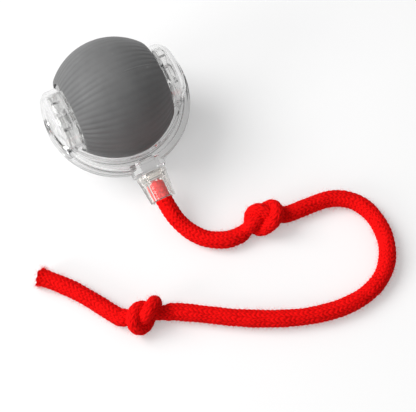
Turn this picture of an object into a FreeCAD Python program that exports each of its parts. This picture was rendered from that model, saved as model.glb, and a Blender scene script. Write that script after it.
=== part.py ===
import FreeCAD, Part
import math
import os
import Sketcher

os.makedirs("parts", exist_ok=True)
doc = FreeCAD.newDocument("self_rolling_cat_ball")

# Driving dimensions, in millimetres, degrees and plain counts.
# The roller's own frame has X along its axle, Y away from the tail and Z square to the yoke.
DIMENSIONS = {
    "roller_radius": 17.9,
    "roller_width": 28.2,
    "roller_sag": 6.3,
    "tail_drop": 20,
    "rib_count": 52,
    "rib_depth": 0.42,
    "rib_fade": 0.14,
    "rib_slope": 1.0,
    "sleeve_wall": 1.9,
    "sleeve_lip": 0.9,
    "drum_flat_margin": 0.2,
    "shell_wall": 1.2,
    "shoulder_inset": 2.0,
    "neck_cover": 0.3,
    "neck_wall": 0.8,
    "lip_thickness": 0.6,
    "fit_gap": 0.05,
    "running_gap": 0.08,
    "cap_set": 1.2,
    "cap_plate": 1.0,
    "cap_chamfer": 0.35,
    "skirt_wall": 0.8,
    "skirt_depth": 2.0,
    "key_width": 5.0,
    "key_depth": 2.7,
    "ear_height": 7.4,
    "ear_radius": 9.7,
    "ear_gap": 0.5,
    "ear_shoulder_drop": 0.9,
    "ear_round_radius": 8.4,
    "ear_mid_radius": 5.4,
    "ear_wall": 1.3,
    "pole_bore": 2.3,
    "hub_inset": 0.3,
    "hub_plate": 1.0,
    "hub_radius": 3.0,
    "hub_recess": 2.5,
    "hub_bore": 1.25,
    "hub_rib_count": 6,
    "hub_rib_width": 0.9,
    "hub_rib_gap": 0.3,
    "nose_radius": 2.2,
    "pole_recess": 0.3,
    "band_gap": 0.5,
    "band_back": 5.1,
    "band_end_wall": 2.05,
    "band_width": 8.0,
    "band_end": 6.0,
    "band_chamfer": 0.7,
    "band_lip": 2.0,
    "band_rim": 0.8,
    "channel_depth": 1.5,
    "lug_width": 9.9,
    "lug_height": 9.8,
    "lug_depth": 4.3,
    "lug_round": 1.8,
    "lug_stand_off": 1.6,
    "neck_pin_radius": 3.3,
    "neck_pin_length": 2.4,
    "collar_radius": 4.7,
    "collar_length": 1.3,
    "ferrule_back_radius": 4.55,
    "mouth_radius": 3.85,
    "panel_count": 8,
    "ferrule_length": 8.5,
    "collar_bevel": 0.25,
    "rope_gap": 0.1,
    "mouth_flare": 0.4,
    "rope_straight": 3.6,
    "floor_gap": 0.15,
    "rope_radius": 2.5,
    "rope_sides": 10,
    "ring_wall": 2.8,
    "ring_teeth": 48,
    "pinion_teeth": 12,
    "wheel_teeth": 18,
    "motor_teeth": 9,
    "addendum_share": 0.84,
    "dedendum_share": 1.2,
    "thickness_share": 1.16,
    "tooth_slope": 0.32,
    "ring_set": 2.9,
    "ring_width": 2.4,
    "wheel_set": 1.1,
    "wheel_width": 1.5,
    "idler_pin_radius": 0.75,
    "motor_shaft_radius": 0.5,
    "motor_shaft_depth": 1.4,
    "motor_radius": 6.0,
    "motor_height": 10.0,
    "motor_nose_radius": 1.5,
    "motor_nose": 0.6,
    "board_room": 4.3,
    "socket_room": 6.5,
    "gear_room": 5.9,
    "plate_left_gap": 0.9,
    "plate_thickness": 0.8,
    "plate_gap": 3.6,
    "tie_radius": 1.3,
    "tie_inset": 0.6,
    "post_radius": 1.3,
    "post_inset": 3.4,
    "tray_width": 14.4,
    "tray_top": 3.3,
    "tray_thickness": 0.7,
    "battery_end_gap": 0.5,
    "battery_width": 13.0,
    "battery_height": 5.2,
    "battery_round": 1.2,
    "battery_gap": 0.3,
    "board_margin": 1.3,
    "board_thickness": 0.8,
    "board_gap": 0.5,
    "switch_size": 3.4,
    "switch_height": 1.2,
    "button_travel": 0.4,
    "button_head": 1.3,
    "button_stem_radius": 1.15,
    "lamp_radius": 1.0,
    "lamp_height": 1.4,
    "chip_share": 0.39,
    "chip_height": 0.9,
    "sensor_radius": 1.1,
    "sensor_length": 4.2,
    "port_width": 8.9,
    "port_height": 3.2,
    "port_length": 4.6,
    "port_wall": 0.35,
    "port_centre": 5.4,
    "port_board_gap": 1.2,
    "screw_head_radius": 1.3,
    "screw_head_height": 0.5,
    "screw_shank_radius": 0.65,
    "screw_length": 3.2,
    "knot_width": 5.0,
    "knot_height": 4.6,
}

sheet = doc.addObject("Spreadsheet::Sheet", "sheet")
for row, (alias, value) in enumerate(DIMENSIONS.items(), start=1):
    sheet.set("A%d" % row, alias)
    sheet.set("B%d" % row, str(value))
    sheet.setAlias("B%d" % row, alias)
doc.recompute()

# Lengths that follow from the driving dimensions.
HALF = "(sheet.roller_width / 2)"
END_RADIUS = "(sheet.roller_radius - sheet.roller_sag)"
ARC = "((%s^2 + sheet.roller_sag^2) / (2 * sheet.roller_sag))" % HALF
DROP = "(%s - sheet.roller_radius)" % ARC
TILT = "(sheet.tail_drop * 1deg)"
BAND_FRONT = "(sheet.roller_radius + sheet.band_gap)"
BAND_BACK = "(sheet.roller_radius + sheet.band_back)"
SEAM = "(%s + sheet.lug_stand_off)" % BAND_BACK
TAIL_REACH = "(%s + sheet.ferrule_length)" % SEAM
ROLLER_Y = "((%s * cos(%s) + sheet.mouth_radius * sin(%s) - sheet.roller_radius) / 2)" % (
    TAIL_REACH, TILT, TILT)
NECK_REACH = "(%s - sheet.lip_thickness)" % HALF
SHOULDER = "(%s - sheet.shoulder_inset)" % HALF
DRUM_RADIUS = "(sheet.roller_radius - sheet.sleeve_wall)"
SHELL_BORE = "(%s - sheet.shell_wall)" % DRUM_RADIUS
NECK_RADIUS = "(%s - sheet.neck_cover)" % END_RADIUS
NECK_BORE = "(%s - sheet.neck_wall)" % NECK_RADIUS
CAP_RADIUS = "(%s - sheet.running_gap)" % NECK_BORE
CAP_BACK = "(%s - sheet.cap_set)" % HALF
CAP_FACE = "(%s + sheet.cap_plate)" % CAP_BACK
BALL_RADIUS = "(%s + sheet.ear_height)" % HALF
EAR_FACE = "(%s + sheet.ear_gap)" % HALF
EAR_SHOULDER = "(sqrt(%s^2 - sheet.ear_radius^2) - sheet.ear_shoulder_drop)" % BALL_RADIUS
HUB_FACE = "(%s + sheet.hub_inset)" % EAR_FACE
HUB_REACH = "(%s - sheet.hub_recess)" % BALL_RADIUS
HUB_PLATE_RADIUS = "(sheet.ear_radius - sheet.ear_wall - sheet.fit_gap)"
POLE_FACE = "(%s - sheet.pole_recess)" % BALL_RADIUS
BAND_END_FRONT = "(%s - sheet.band_end_wall)" % BALL_RADIUS
RING_PITCH = "(%s - sheet.ring_wall)" % SHELL_BORE
GEAR_MODULE = "(2 * %s / sheet.ring_teeth)" % RING_PITCH
ADDENDUM = "(sheet.addendum_share * %s)" % GEAR_MODULE
DEDENDUM = "(sheet.dedendum_share * %s)" % GEAR_MODULE
TOOTH_THICKNESS = "(sheet.thickness_share * %s)" % GEAR_MODULE
PINION_PITCH = "(%s * sheet.pinion_teeth / 2)" % GEAR_MODULE
WHEEL_PITCH = "(%s * sheet.wheel_teeth / 2)" % GEAR_MODULE
MOTOR_PITCH = "(%s * sheet.motor_teeth / 2)" % GEAR_MODULE
IDLER_Z = "(%s - %s)" % (RING_PITCH, PINION_PITCH)
MOTOR_Z = "(%s - %s - %s)" % (IDLER_Z, WHEEL_PITCH, MOTOR_PITCH)
PLATE_LEFT_BACK = "(%s - sheet.board_room)" % CAP_BACK
PLATE_LEFT_FRONT = "(%s + sheet.plate_thickness)" % PLATE_LEFT_BACK
PLATE_LEFT_RADIUS = "(%s - sheet.plate_left_gap)" % NECK_BORE
PLATE_RADIUS = "(%s - sheet.plate_gap)" % SHELL_BORE
PLATE_RIGHT_FACE = "(%s - sheet.socket_room)" % CAP_BACK
PLATE_RIGHT_BACK = "(%s + sheet.plate_thickness)" % PLATE_RIGHT_FACE
PLATE_MID_FACE = "(%s - sheet.gear_room)" % PLATE_RIGHT_FACE
WHEEL_FACE = "(%s + sheet.wheel_set)" % PLATE_MID_FACE
RING_FACE = "(%s + sheet.ring_set)" % PLATE_MID_FACE
DRUM_FLAT = "(%s + sheet.ring_width + sheet.drum_flat_margin)" % RING_FACE
TIE_OFFSET = "(%s - sheet.tie_inset)" % PLATE_LEFT_RADIUS
POST_OFFSET = "(%s - sheet.post_inset)" % NECK_BORE
BOARD_RADIUS = "(%s - sheet.board_margin)" % NECK_BORE
CHIP_SIZE = "(sheet.chip_share * %s)" % BOARD_RADIUS
BOARD_BACK = "(%s + sheet.board_gap)" % PLATE_LEFT_FRONT
BOARD_FRONT = "(%s + sheet.board_thickness)" % BOARD_BACK
SWITCH_FRONT = "(%s + sheet.switch_height)" % BOARD_FRONT
# The barrel's crown is drawn as this odd number of straight steps, with the middle one level.
CROWN_STEPS = 7


def number(expression):
    """The value of an expression on the sheet."""
    return float(sheet.evalExpression(str(expression)))


def crown_point(corner, depth="0"):
    """Station and radius of a corner of the crown; corners are numbered in twos from the middle."""
    angle = "(%s / %d * asin(%s / %s))" % (corner, CROWN_STEPS, HALF, ARC)
    radius = "%s * cos(%s) - %s" % (ARC, angle, DROP)
    if abs(corner) == 1:
        radius = "sheet.roller_radius"
    return "%s * sin(%s)" % (ARC, angle), "%s - %s" % (radius, depth)


def origin_part(body, role):
    return [part for part in body.Origin.OriginFeatures if part.Role == role][0]


def new_body(name):
    body = doc.addObject("PartDesign::Body", name)
    body.Label = name
    return body


def place(body, x="0", y="0", z="0", turn="0"):
    """Seat a body at a point of the roller's frame, which leans over with the tail."""
    body.Placement.Rotation = FreeCAD.Rotation(FreeCAD.Vector(1, 0, 0), 1)
    body.setExpression("Placement.Base.x", "(%s) * 1mm" % x)
    body.setExpression(
        "Placement.Base.y", "(%s + (%s) * cos(%s) - (%s) * sin(%s)) * 1mm" % (ROLLER_Y, y, TILT, z, TILT)
    )
    body.setExpression(
        "Placement.Base.z",
        "(sheet.roller_radius + (%s) * sin(%s) + (%s) * cos(%s)) * 1mm" % (y, TILT, z, TILT)
    )
    body.setExpression("Placement.Rotation.Angle", "%s + (%s) * 1deg" % (TILT, turn))
    return body


def new_sketch(body, name, role, height="0"):
    """An empty sketch on an origin plane, lifted along that plane's normal."""
    sketch = body.newObject("Sketcher::SketchObject", name)
    sketch.AttachmentSupport = [(origin_part(body, role), "")]
    sketch.MapMode = "FlatFace"
    sketch.setExpression("AttachmentOffset.Base.z", "(%s) * 1mm" % height)
    return sketch


def bind(sketch, kind, geometry, point, expression):
    value = number(expression)
    if point is None:
        index = sketch.addConstraint(Sketcher.Constraint(kind, geometry, value))
    else:
        index = sketch.addConstraint(Sketcher.Constraint(kind, geometry, point, value))
    sketch.setExpression("Constraints[%d]" % index, expression)


def bind_point(sketch, geometry, point, x, y):
    """Hold a point at its coordinates; a plain 0 puts it on the axis itself."""
    if x == "0":
        sketch.addConstraint(Sketcher.Constraint("PointOnObject", geometry, point, -2))
    else:
        bind(sketch, "DistanceX", geometry, point, x)
    if y == "0":
        sketch.addConstraint(Sketcher.Constraint("PointOnObject", geometry, point, -1))
    else:
        bind(sketch, "DistanceY", geometry, point, y)


def outline(sketch, corners, bends=None):
    """A closed outline; bends names the edges that are arcs, by their radius and centre."""
    bends = bends or {}
    points = [FreeCAD.Vector(number(x), number(y), 0) for x, y in corners]
    first = sketch.GeometryCount
    for index, start in enumerate(points):
        end = points[(index + 1) % len(points)]
        if index in bends:
            radius, centre_x, centre_y = bends[index]
            centre = FreeCAD.Vector(number(centre_x), number(centre_y), 0)
            towards = (start + end) * 0.5 - centre
            middle = centre + towards.normalize() * number(radius)
            edge = Part.Arc(start, middle, end)
            sketch.addGeometry(edge, False)
        else:
            sketch.addGeometry(Part.LineSegment(start, end), False)
    for index in range(len(points)):
        this = first + index
        following = first + (index + 1) % len(points)
        ends = arc_ends(sketch, this, points[index])
        next_ends = arc_ends(sketch, following, points[(index + 1) % len(points)])
        sketch.addConstraint(Sketcher.Constraint("Coincident", this, ends[1], following, next_ends[0]))
    for index, (x, y) in enumerate(corners):
        this = first + index
        bind_point(sketch, this, arc_ends(sketch, this, points[index])[0], x, y)
        if index in bends:
            bind(sketch, "Radius", this, None, bends[index][0])


def arc_ends(sketch, geometry, start):
    """Which end of an edge is its start here: an arc always runs anticlockwise."""
    if (sketch.getPoint(geometry, 1) - start).Length < 1e-6:
        return 1, 2
    return 2, 1


def circle(sketch, radius, x="0", y="0"):
    centre = FreeCAD.Vector(number(x), number(y), 0)
    index = sketch.addGeometry(Part.Circle(centre, FreeCAD.Vector(0, 0, 1), number(radius)), False)
    bind_point(sketch, index, 3, x, y)
    bind(sketch, "Radius", index, None, radius)


def rectangle(sketch, left, bottom, right, top):
    outline(sketch, [(left, bottom), (right, bottom), (right, top), (left, top)])


def round_rectangle(sketch, width, height, corner, y="0"):
    """A rectangle with round corners, centred on the sketch's vertical axis."""
    side = "(%s) / 2" % width
    inner = "(%s) / 2 - (%s)" % (width, corner)
    top = "%s + (%s) / 2" % (y, height)
    low = "%s - (%s) / 2" % (y, height)
    top_in = "%s - (%s)" % (top, corner)
    low_in = "%s + (%s)" % (low, corner)
    corners = [
        ("-(%s)" % inner, low), (inner, low), (side, low_in), (side, top_in),
        (inner, top), ("-(%s)" % inner, top), ("-(%s)" % side, top_in), ("-(%s)" % side, low_in),
    ]
    bends = {
        1: (corner, inner, low_in), 3: (corner, inner, top_in),
        5: (corner, "-(%s)" % inner, top_in), 7: (corner, "-(%s)" % inner, low_in),
    }
    outline(sketch, corners, bends)


def feature(body, kind, name, sketch):
    item = body.newObject("PartDesign::" + kind, name)
    item.Profile = sketch
    return item


def pad(body, name, sketch, length, symmetric=False, back=False):
    item = feature(body, "Pad", name, sketch)
    item.setExpression("Length", "(%s) * 1mm" % length)
    item.SideType = "Symmetric" if symmetric else "One side"
    item.Reversed = back
    return item


def pocket(body, name, sketch, length, symmetric=False, back=False):
    item = feature(body, "Pocket", name, sketch)
    item.setExpression("Length", "(%s) * 1mm" % length)
    item.SideType = "Symmetric" if symmetric else "One side"
    item.Reversed = back
    return item


def turned(body, name, sketch, axis="H_Axis", kind="Revolution"):
    item = feature(body, kind, name, sketch)
    item.ReferenceAxis = (sketch, [axis])
    item.Angle = 360
    return item


def polar(body, name, original, count):
    """Repeat a feature round the X axis."""
    doc.recompute()
    pattern = body.newObject("PartDesign::PolarPattern", name)
    pattern.Originals = [original]
    pattern.Axis = (origin_part(body, "X_Axis"), [""])
    pattern.Angle = 360
    pattern.setExpression("Occurrences", count)
    body.Tip = pattern
    return pattern


def mirrored(side, expression):
    """An axial station on the right (1) or the left (-1) of the roller."""
    if expression == "0" or side > 0:
        return expression
    return "(-(%s))" % expression


def mirrored_all(side, corners):
    return [(mirrored(side, x), y) for x, y in corners]


def polyline(sketch, points):
    """An open chain of straight lines through the points."""
    places = [FreeCAD.Vector(number(x), number(y), 0) for x, y in points]
    for start, end in zip(places, places[1:]):
        sketch.addGeometry(Part.LineSegment(start, end), False)
    for index, (x, y) in enumerate(points[:-1]):
        bind_point(sketch, index, 1, x, y)
        if index:
            sketch.addConstraint(Sketcher.Constraint("Coincident", index - 1, 2, index, 1))
    bind_point(sketch, len(points) - 2, 2, *points[-1])


def make_sleeve():
    """Soft ribbed sleeve, moulded as one barrel that folds over both drum necks."""
    body = new_body("silicone_sleeve")
    lip = "(%s - sheet.sleeve_lip)" % END_RADIUS
    inside = [
        (HALF, lip), (NECK_REACH, lip), (NECK_REACH, NECK_RADIUS), (SHOULDER, NECK_RADIUS),
        (DRUM_FLAT, DRUM_RADIUS),
    ]
    corners = inside + [("-(%s)" % x, y) for x, y in reversed(inside)]
    for corner in range(-CROWN_STEPS, CROWN_STEPS + 1, 2):
        corners.append(crown_point(corner))
    profile = new_sketch(body, "sleeve_profile", "XY_Plane")
    outline(profile, corners)
    turned(body, "sleeve_barrel", profile)
    cut_rib_groove(body)
    return place(body)


def cut_rib_groove(body):
    """A V-groove that follows the crown from lip to lip, shallow in the middle, repeated round it."""
    points = []
    for corner in range(-CROWN_STEPS, CROWN_STEPS + 1, 2):
        share = "(%d / %d)^2" % (corner, CROWN_STEPS)
        depth = "(sheet.rib_fade + (sheet.rib_depth - sheet.rib_fade) * %s)" % share
        reach = 1.06 * corner if abs(corner) == CROWN_STEPS else corner
        points.append(crown_point(reach, depth))
    path = new_sketch(body, "groove_path", "XZ_Plane")
    polyline(path, points)
    section = new_sketch(body, "groove_section", "YZ_Plane", points[0][0])
    bottom = points[0][1]
    rise = "(%s + 1.5 * sheet.rib_depth)" % bottom
    spread = "(1.5 * sheet.rib_depth * sheet.rib_slope)"
    outline(section, [("0", bottom), (spread, rise), ("-" + spread, rise)])
    groove = feature(body, "SubtractivePipe", "rib_groove", section)
    groove.Spine = path
    groove.Mode = "Fixed"
    groove.Transition = "Right corner"
    polar(body, "rib_grooves", groove, "sheet.rib_count")


def make_drum_shell(side, name):
    """Half of the hard drum under the sleeve; the ring gear is pressed into the right one."""
    body = new_body(name)
    cone_end = "(%s - sheet.shell_wall)" % SHOULDER
    corners = [
        ("0", DRUM_RADIUS), (DRUM_FLAT, DRUM_RADIUS), (SHOULDER, NECK_RADIUS),
        (NECK_REACH, NECK_RADIUS), (NECK_REACH, NECK_BORE), (cone_end, NECK_BORE),
        (DRUM_FLAT, SHELL_BORE), ("0", SHELL_BORE),
    ]
    profile = new_sketch(body, name + "_profile", "XY_Plane")
    outline(profile, mirrored_all(side, corners))
    turned(body, name + "_wall", profile)
    return place(body)


def tooth_outline(sketch, pitch, sign, centre_angle):
    """One straight-flanked tooth; sign is 1 for a tooth that points outwards, -1 for a ring's."""
    angle = "(%s)" % centre_angle
    foot = "(1.17 * %s)" % DEDENDUM
    tip = "(%s + %d * %s)" % (pitch, sign, ADDENDUM)
    root = "(%s - %d * %s)" % (pitch, sign, foot)
    half_tip = "(%s / 2 - sheet.tooth_slope * %s)" % (TOOTH_THICKNESS, ADDENDUM)
    half_root = "(%s / 2 + sheet.tooth_slope * %s)" % (TOOTH_THICKNESS, foot)
    corners = []
    flanks = [(root, "-" + half_root), (tip, "-" + half_tip), (tip, half_tip), (root, half_root)]
    for radial, across in flanks:
        x = "%s * cos(%s) - (%s) * sin(%s)" % (radial, angle, across, angle)
        y = "%s * sin(%s) + (%s) * cos(%s)" % (radial, angle, across, angle)
        corners.append((x, y))
    outline(sketch, corners)


def add_gear(body, name, pitch, teeth, face, width, centre_angle):
    """A spur gear's disc and its teeth, padded along the axle."""
    disc = new_sketch(body, name + "_disc", "YZ_Plane", face)
    circle(disc, "%s - %s" % (pitch, DEDENDUM))
    pad(body, name + "_disc_pad", disc, width)
    tooth = new_sketch(body, name + "_tooth", "YZ_Plane", face)
    tooth_outline(tooth, pitch, 1, centre_angle)
    tooth_pad = pad(body, name + "_tooth_pad", tooth, width)
    polar(body, name + "_teeth", tooth_pad, teeth)


def make_ring_gear():
    """Toothed ring pressed into the right half of the drum."""
    body = new_body("ring_gear")
    ring = new_sketch(body, "ring_blank", "YZ_Plane", RING_FACE)
    circle(ring, SHELL_BORE)
    circle(ring, "%s + %s" % (RING_PITCH, DEDENDUM))
    pad(body, "ring_pad", ring, "sheet.ring_width")
    tooth = new_sketch(body, "ring_tooth", "YZ_Plane", RING_FACE)
    tooth_outline(tooth, RING_PITCH, -1, "0deg")
    tooth_pad = pad(body, "ring_tooth_pad", tooth, "sheet.ring_width")
    polar(body, "ring_teeth_round", tooth_pad, "sheet.ring_teeth")
    return place(body)


def make_idler_gear():
    """Compound gear: its wheel takes the motor pinion and its pinion turns the ring gear."""
    body = new_body("idler_gear")
    add_gear(body, "wheel", WHEEL_PITCH, "sheet.wheel_teeth", WHEEL_FACE, "sheet.wheel_width",
             "270deg")
    waist = new_sketch(body, "idler_waist", "YZ_Plane", WHEEL_FACE)
    circle(waist, "%s - %s" % (PINION_PITCH, DEDENDUM))
    pad(body, "idler_waist_pad", waist, "%s + sheet.ring_width - %s" % (RING_FACE, WHEEL_FACE))
    tooth = new_sketch(body, "pinion_tooth", "YZ_Plane", RING_FACE)
    tooth_outline(tooth, PINION_PITCH, 1, "90deg + 180deg / sheet.pinion_teeth")
    tooth_pad = pad(body, "pinion_tooth_pad", tooth, "sheet.ring_width")
    polar(body, "pinion_teeth_round", tooth_pad, "sheet.pinion_teeth")
    bore = new_sketch(body, "idler_bore", "YZ_Plane")
    circle(bore, "sheet.idler_pin_radius + sheet.running_gap")
    pocket(body, "idler_bore_cut", bore, "sheet.roller_width", symmetric=True)
    return place(body, z=IDLER_Z)


def make_idler_pin():
    """Steel pin that the idler turns on, held in two of the frame's plates."""
    body = new_body("idler_pin")
    round_pin = new_sketch(body, "idler_pin_round", "YZ_Plane", PLATE_MID_FACE)
    circle(round_pin, "sheet.idler_pin_radius")
    length = "%s - %s" % (PLATE_RIGHT_BACK, PLATE_MID_FACE)
    pad(body, "idler_pin_pad", round_pin, length)
    return place(body, z=IDLER_Z)


def make_motor_pinion():
    """The motor's shaft with its small gear."""
    body = new_body("motor_pinion")
    add_gear(body, "motor_gear", MOTOR_PITCH, "sheet.motor_teeth", WHEEL_FACE, "sheet.wheel_width",
             "90deg + 180deg / sheet.motor_teeth")
    shaft_end = "(%s - sheet.motor_nose - sheet.motor_shaft_depth)" % PLATE_MID_FACE
    shaft = new_sketch(body, "motor_shaft_round", "YZ_Plane", shaft_end)
    circle(shaft, "sheet.motor_shaft_radius")
    pad(body, "motor_shaft_pad", shaft, "%s + 1.25 * sheet.wheel_width - %s" % (WHEEL_FACE, shaft_end))
    return place(body, z=MOTOR_Z)


def make_motor():
    """Small direct-current motor: a round can with two flats and a raised front bearing."""
    body = new_body("motor")
    half_height = "sheet.motor_height / 2"
    half_flat = "sqrt(sheet.motor_radius^2 - (sheet.motor_height / 2)^2)"
    front = "(%s - sheet.motor_nose)" % PLATE_MID_FACE
    can = new_sketch(body, "motor_section", "YZ_Plane", front)
    corners = [
        ("-(%s)" % half_flat, "-(%s)" % half_height),
        (half_flat, "-(%s)" % half_height),
        (half_flat, half_height),
        ("-(%s)" % half_flat, half_height),
    ]
    outline(can, corners, {1: ("sheet.motor_radius", "0", "0"), 3: ("sheet.motor_radius", "0", "0")})
    pad(body, "motor_can", can, "%s + %s" % (PLATE_LEFT_BACK, front), back=True)
    nose = new_sketch(body, "motor_nose_round", "YZ_Plane", front)
    circle(nose, "sheet.motor_nose_radius")
    pad(body, "motor_nose", nose, "sheet.motor_nose")
    bore = new_sketch(body, "motor_bore_round", "YZ_Plane", PLATE_MID_FACE)
    circle(bore, "sheet.motor_shaft_radius + sheet.running_gap")
    pocket(body, "motor_bore", bore, "1.5 * sheet.motor_shaft_depth + sheet.motor_nose")
    return place(body, z=MOTOR_Z)


def post_places():
    """Where each cap's two screws sit, in the roller's own Y and Z."""
    return [(POST_OFFSET, "0"), ("-" + POST_OFFSET, "0")]


def add_rounds(body, name, role, height, length, rounds, cut=False, back=False):
    """Pads or cuts a set of circles, each given by its radius and centre."""
    sketch = new_sketch(body, name + "_rounds", role, height)
    for radius, x, y in rounds:
        circle(sketch, radius, x, y)
    if cut:
        return pocket(body, name, sketch, length, back=back)
    return pad(body, name, sketch, length, back=back)


def make_inner_frame():
    """White cage inside the drum: three plates, two ties, a battery tray and the cap posts."""
    body = new_body("inner_frame")
    plate = "sheet.plate_thickness"
    add_rounds(body, "left_plate", "YZ_Plane", "-" + PLATE_LEFT_FRONT, plate,
               [(PLATE_LEFT_RADIUS, "0", "0")])
    ties = [("sheet.tie_radius", TIE_OFFSET, "0"), ("sheet.tie_radius", "-" + TIE_OFFSET, "0")]
    add_rounds(body, "ties", "YZ_Plane", "-" + PLATE_LEFT_BACK,
               "%s + %s" % (PLATE_LEFT_BACK, PLATE_RIGHT_FACE), ties)
    add_rounds(body, "middle_plate", "YZ_Plane", PLATE_MID_FACE, plate,
               [(PLATE_RADIUS, "0", "0")])
    add_rounds(body, "right_plate", "YZ_Plane", PLATE_RIGHT_FACE, plate,
               [(PLATE_RADIUS, "0", "0")])
    window = new_sketch(body, "battery_window", "YZ_Plane", PLATE_MID_FACE)
    side = "(sheet.battery_width / 2 + sheet.battery_gap)"
    rectangle(window, "-" + side, "-1.1 * %s" % PLATE_RADIUS, side, "-(sheet.tray_top + sheet.fit_gap)")
    pocket(body, "battery_window_cut", window, plate, back=True)
    tray = new_sketch(body, "tray_section", "YZ_Plane", "-" + PLATE_LEFT_BACK)
    tray_side = "sheet.tray_width / 2"
    rectangle(tray, "-" + tray_side, "-(sheet.tray_top + sheet.tray_thickness)", tray_side, "-sheet.tray_top")
    pad(body, "battery_tray", tray, "%s + %s" % (PLATE_LEFT_BACK, PLATE_RIGHT_FACE))
    posts = [("sheet.post_radius", y, z) for y, z in post_places()]
    add_rounds(body, "left_posts", "YZ_Plane", "-" + PLATE_LEFT_FRONT,
               "%s - %s" % (CAP_BACK, PLATE_LEFT_FRONT), posts, back=True)
    add_rounds(body, "right_posts", "YZ_Plane", PLATE_RIGHT_BACK,
               "%s - %s" % (CAP_BACK, PLATE_RIGHT_BACK), posts)
    holes = [("sheet.screw_shank_radius + sheet.fit_gap", y, z) for y, z in post_places()]
    depth = "sheet.screw_length - sheet.cap_plate + sheet.fit_gap"
    add_rounds(body, "right_screw_holes", "YZ_Plane", CAP_BACK, depth, holes, cut=True)
    add_rounds(body, "left_screw_holes", "YZ_Plane", "-" + CAP_BACK, depth, holes, cut=True,
               back=True)
    add_rounds(body, "pin_holes", "YZ_Plane", PLATE_RIGHT_BACK,
               "%s - %s" % (PLATE_RIGHT_BACK, PLATE_MID_FACE),
               [("sheet.idler_pin_radius", "0", IDLER_Z)], cut=True)
    add_rounds(body, "motor_hole", "YZ_Plane", "%s + %s" % (PLATE_MID_FACE, plate), plate,
               [("sheet.motor_shaft_radius + 0.6", "0", MOTOR_Z)], cut=True)
    return place(body)


def make_battery():
    """Soft-pack lithium cell taped under the tray."""
    body = new_body("battery")
    section = new_sketch(body, "battery_section", "YZ_Plane")
    round_rectangle(section, "sheet.battery_width", "sheet.battery_height", "sheet.battery_round")
    length = "%s + %s - 2 * sheet.battery_end_gap" % (PLATE_RIGHT_FACE, PLATE_LEFT_BACK)
    pad(body, "battery_pack", section, length, symmetric=True)
    height = "-(sheet.tray_top + sheet.tray_thickness + sheet.battery_height / 2)"
    middle = "(%s - %s) / 2" % (PLATE_RIGHT_FACE, PLATE_LEFT_BACK)
    return place(body, x=middle, z=height)


def make_circuit_board():
    """Round board behind the left cap, held on the frame's two left posts."""
    body = new_body("circuit_board")
    add_rounds(body, "board_disc", "YZ_Plane", "-" + BOARD_BACK, "sheet.board_thickness",
               [(BOARD_RADIUS, "0", "0")], back=True)
    holes = [("sheet.post_radius + sheet.fit_gap", y, z) for y, z in post_places()]
    add_rounds(body, "board_holes", "YZ_Plane", "-" + BOARD_FRONT, "sheet.board_thickness", holes,
               cut=True, back=True)
    return place(body)


def board_piece(name, y, z, width, height, depth):
    """A square-cornered component soldered to the front of the left board."""
    body = new_body(name)
    section = new_sketch(body, name + "_section", "YZ_Plane", "-" + BOARD_FRONT)
    half_width = "(%s) / 2" % width
    half_height = "(%s) / 2" % height
    rectangle(section, "-(%s)" % half_width, "-(%s)" % half_height, half_width, half_height)
    pad(body, name + "_block", section, depth, back=True)
    return place(body, y=y, z=z)


def make_button_switch():
    """Tactile switch that the power button presses."""
    body = board_piece("button_switch", "0", "0", "sheet.switch_size", "sheet.switch_size",
                       "sheet.switch_height - 0.4")
    add_rounds(body, "switch_plunger", "YZ_Plane", "-" + BOARD_FRONT, "sheet.switch_height",
               [("0.9", "0", "0")], back=True)
    return body


def make_status_lamp():
    """Small lamp with a bevelled nose that glows through the clear cap."""
    body = new_body("status_lamp")
    base = "-" + BOARD_FRONT
    tip = "-(%s + sheet.lamp_height)" % BOARD_FRONT
    straight = "-(%s + sheet.lamp_height - sheet.lamp_radius / 2)" % BOARD_FRONT
    profile = new_sketch(body, "lamp_profile", "XY_Plane")
    outline(profile, [(base, "0"), (base, "sheet.lamp_radius"), (straight, "sheet.lamp_radius"),
                      (tip, "sheet.lamp_radius / 2"), (tip, "0")])
    turned(body, "lamp_nose", profile)
    return place(body, z="0.64 * " + BOARD_RADIUS)


def make_motion_sensor():
    """Spring-type knock switch, lying on the board; it wakes the ball when it is touched."""
    body = new_body("motion_sensor")
    height = "-(%s + sheet.sensor_radius)" % BOARD_FRONT
    section = new_sketch(body, "sensor_section", "XZ_Plane", "-sheet.sensor_length / 2")
    circle(section, "sheet.sensor_radius", height, "0")
    pad(body, "sensor_can", section, "sheet.sensor_length")
    return place(body, z="-0.65 * " + BOARD_RADIUS)


def make_charging_port():
    """Flat-oval charging socket that faces out through a slot in the right cap."""
    body = new_body("charging_port")
    face = CAP_FACE
    shell = new_sketch(body, "port_section", "YZ_Plane", face)
    round_rectangle(shell, "sheet.port_width", "sheet.port_height", "sheet.port_height / 2 - 0.01")
    pad(body, "port_shell", shell, "sheet.port_length", back=True)
    mouth = new_sketch(body, "port_mouth", "YZ_Plane", face)
    inner_height = "(sheet.port_height - 2 * sheet.port_wall)"
    inner_width = "(sheet.port_width - 2 * sheet.port_wall)"
    round_rectangle(mouth, inner_width, inner_height, inner_height + " / 2 - 0.01")
    pocket(body, "port_cavity", mouth, "sheet.port_length - 0.6")
    tongue = new_sketch(body, "port_tongue", "YZ_Plane", "%s - sheet.port_length + 0.5" % face)
    rectangle(tongue, "-sheet.port_width / 2 + 1.3", "-0.35", "sheet.port_width / 2 - 1.3", "0.35")
    pad(body, "port_tongue_bar", tongue, "sheet.port_length - 1.2")
    return place(body, z="sheet.port_centre")


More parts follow.
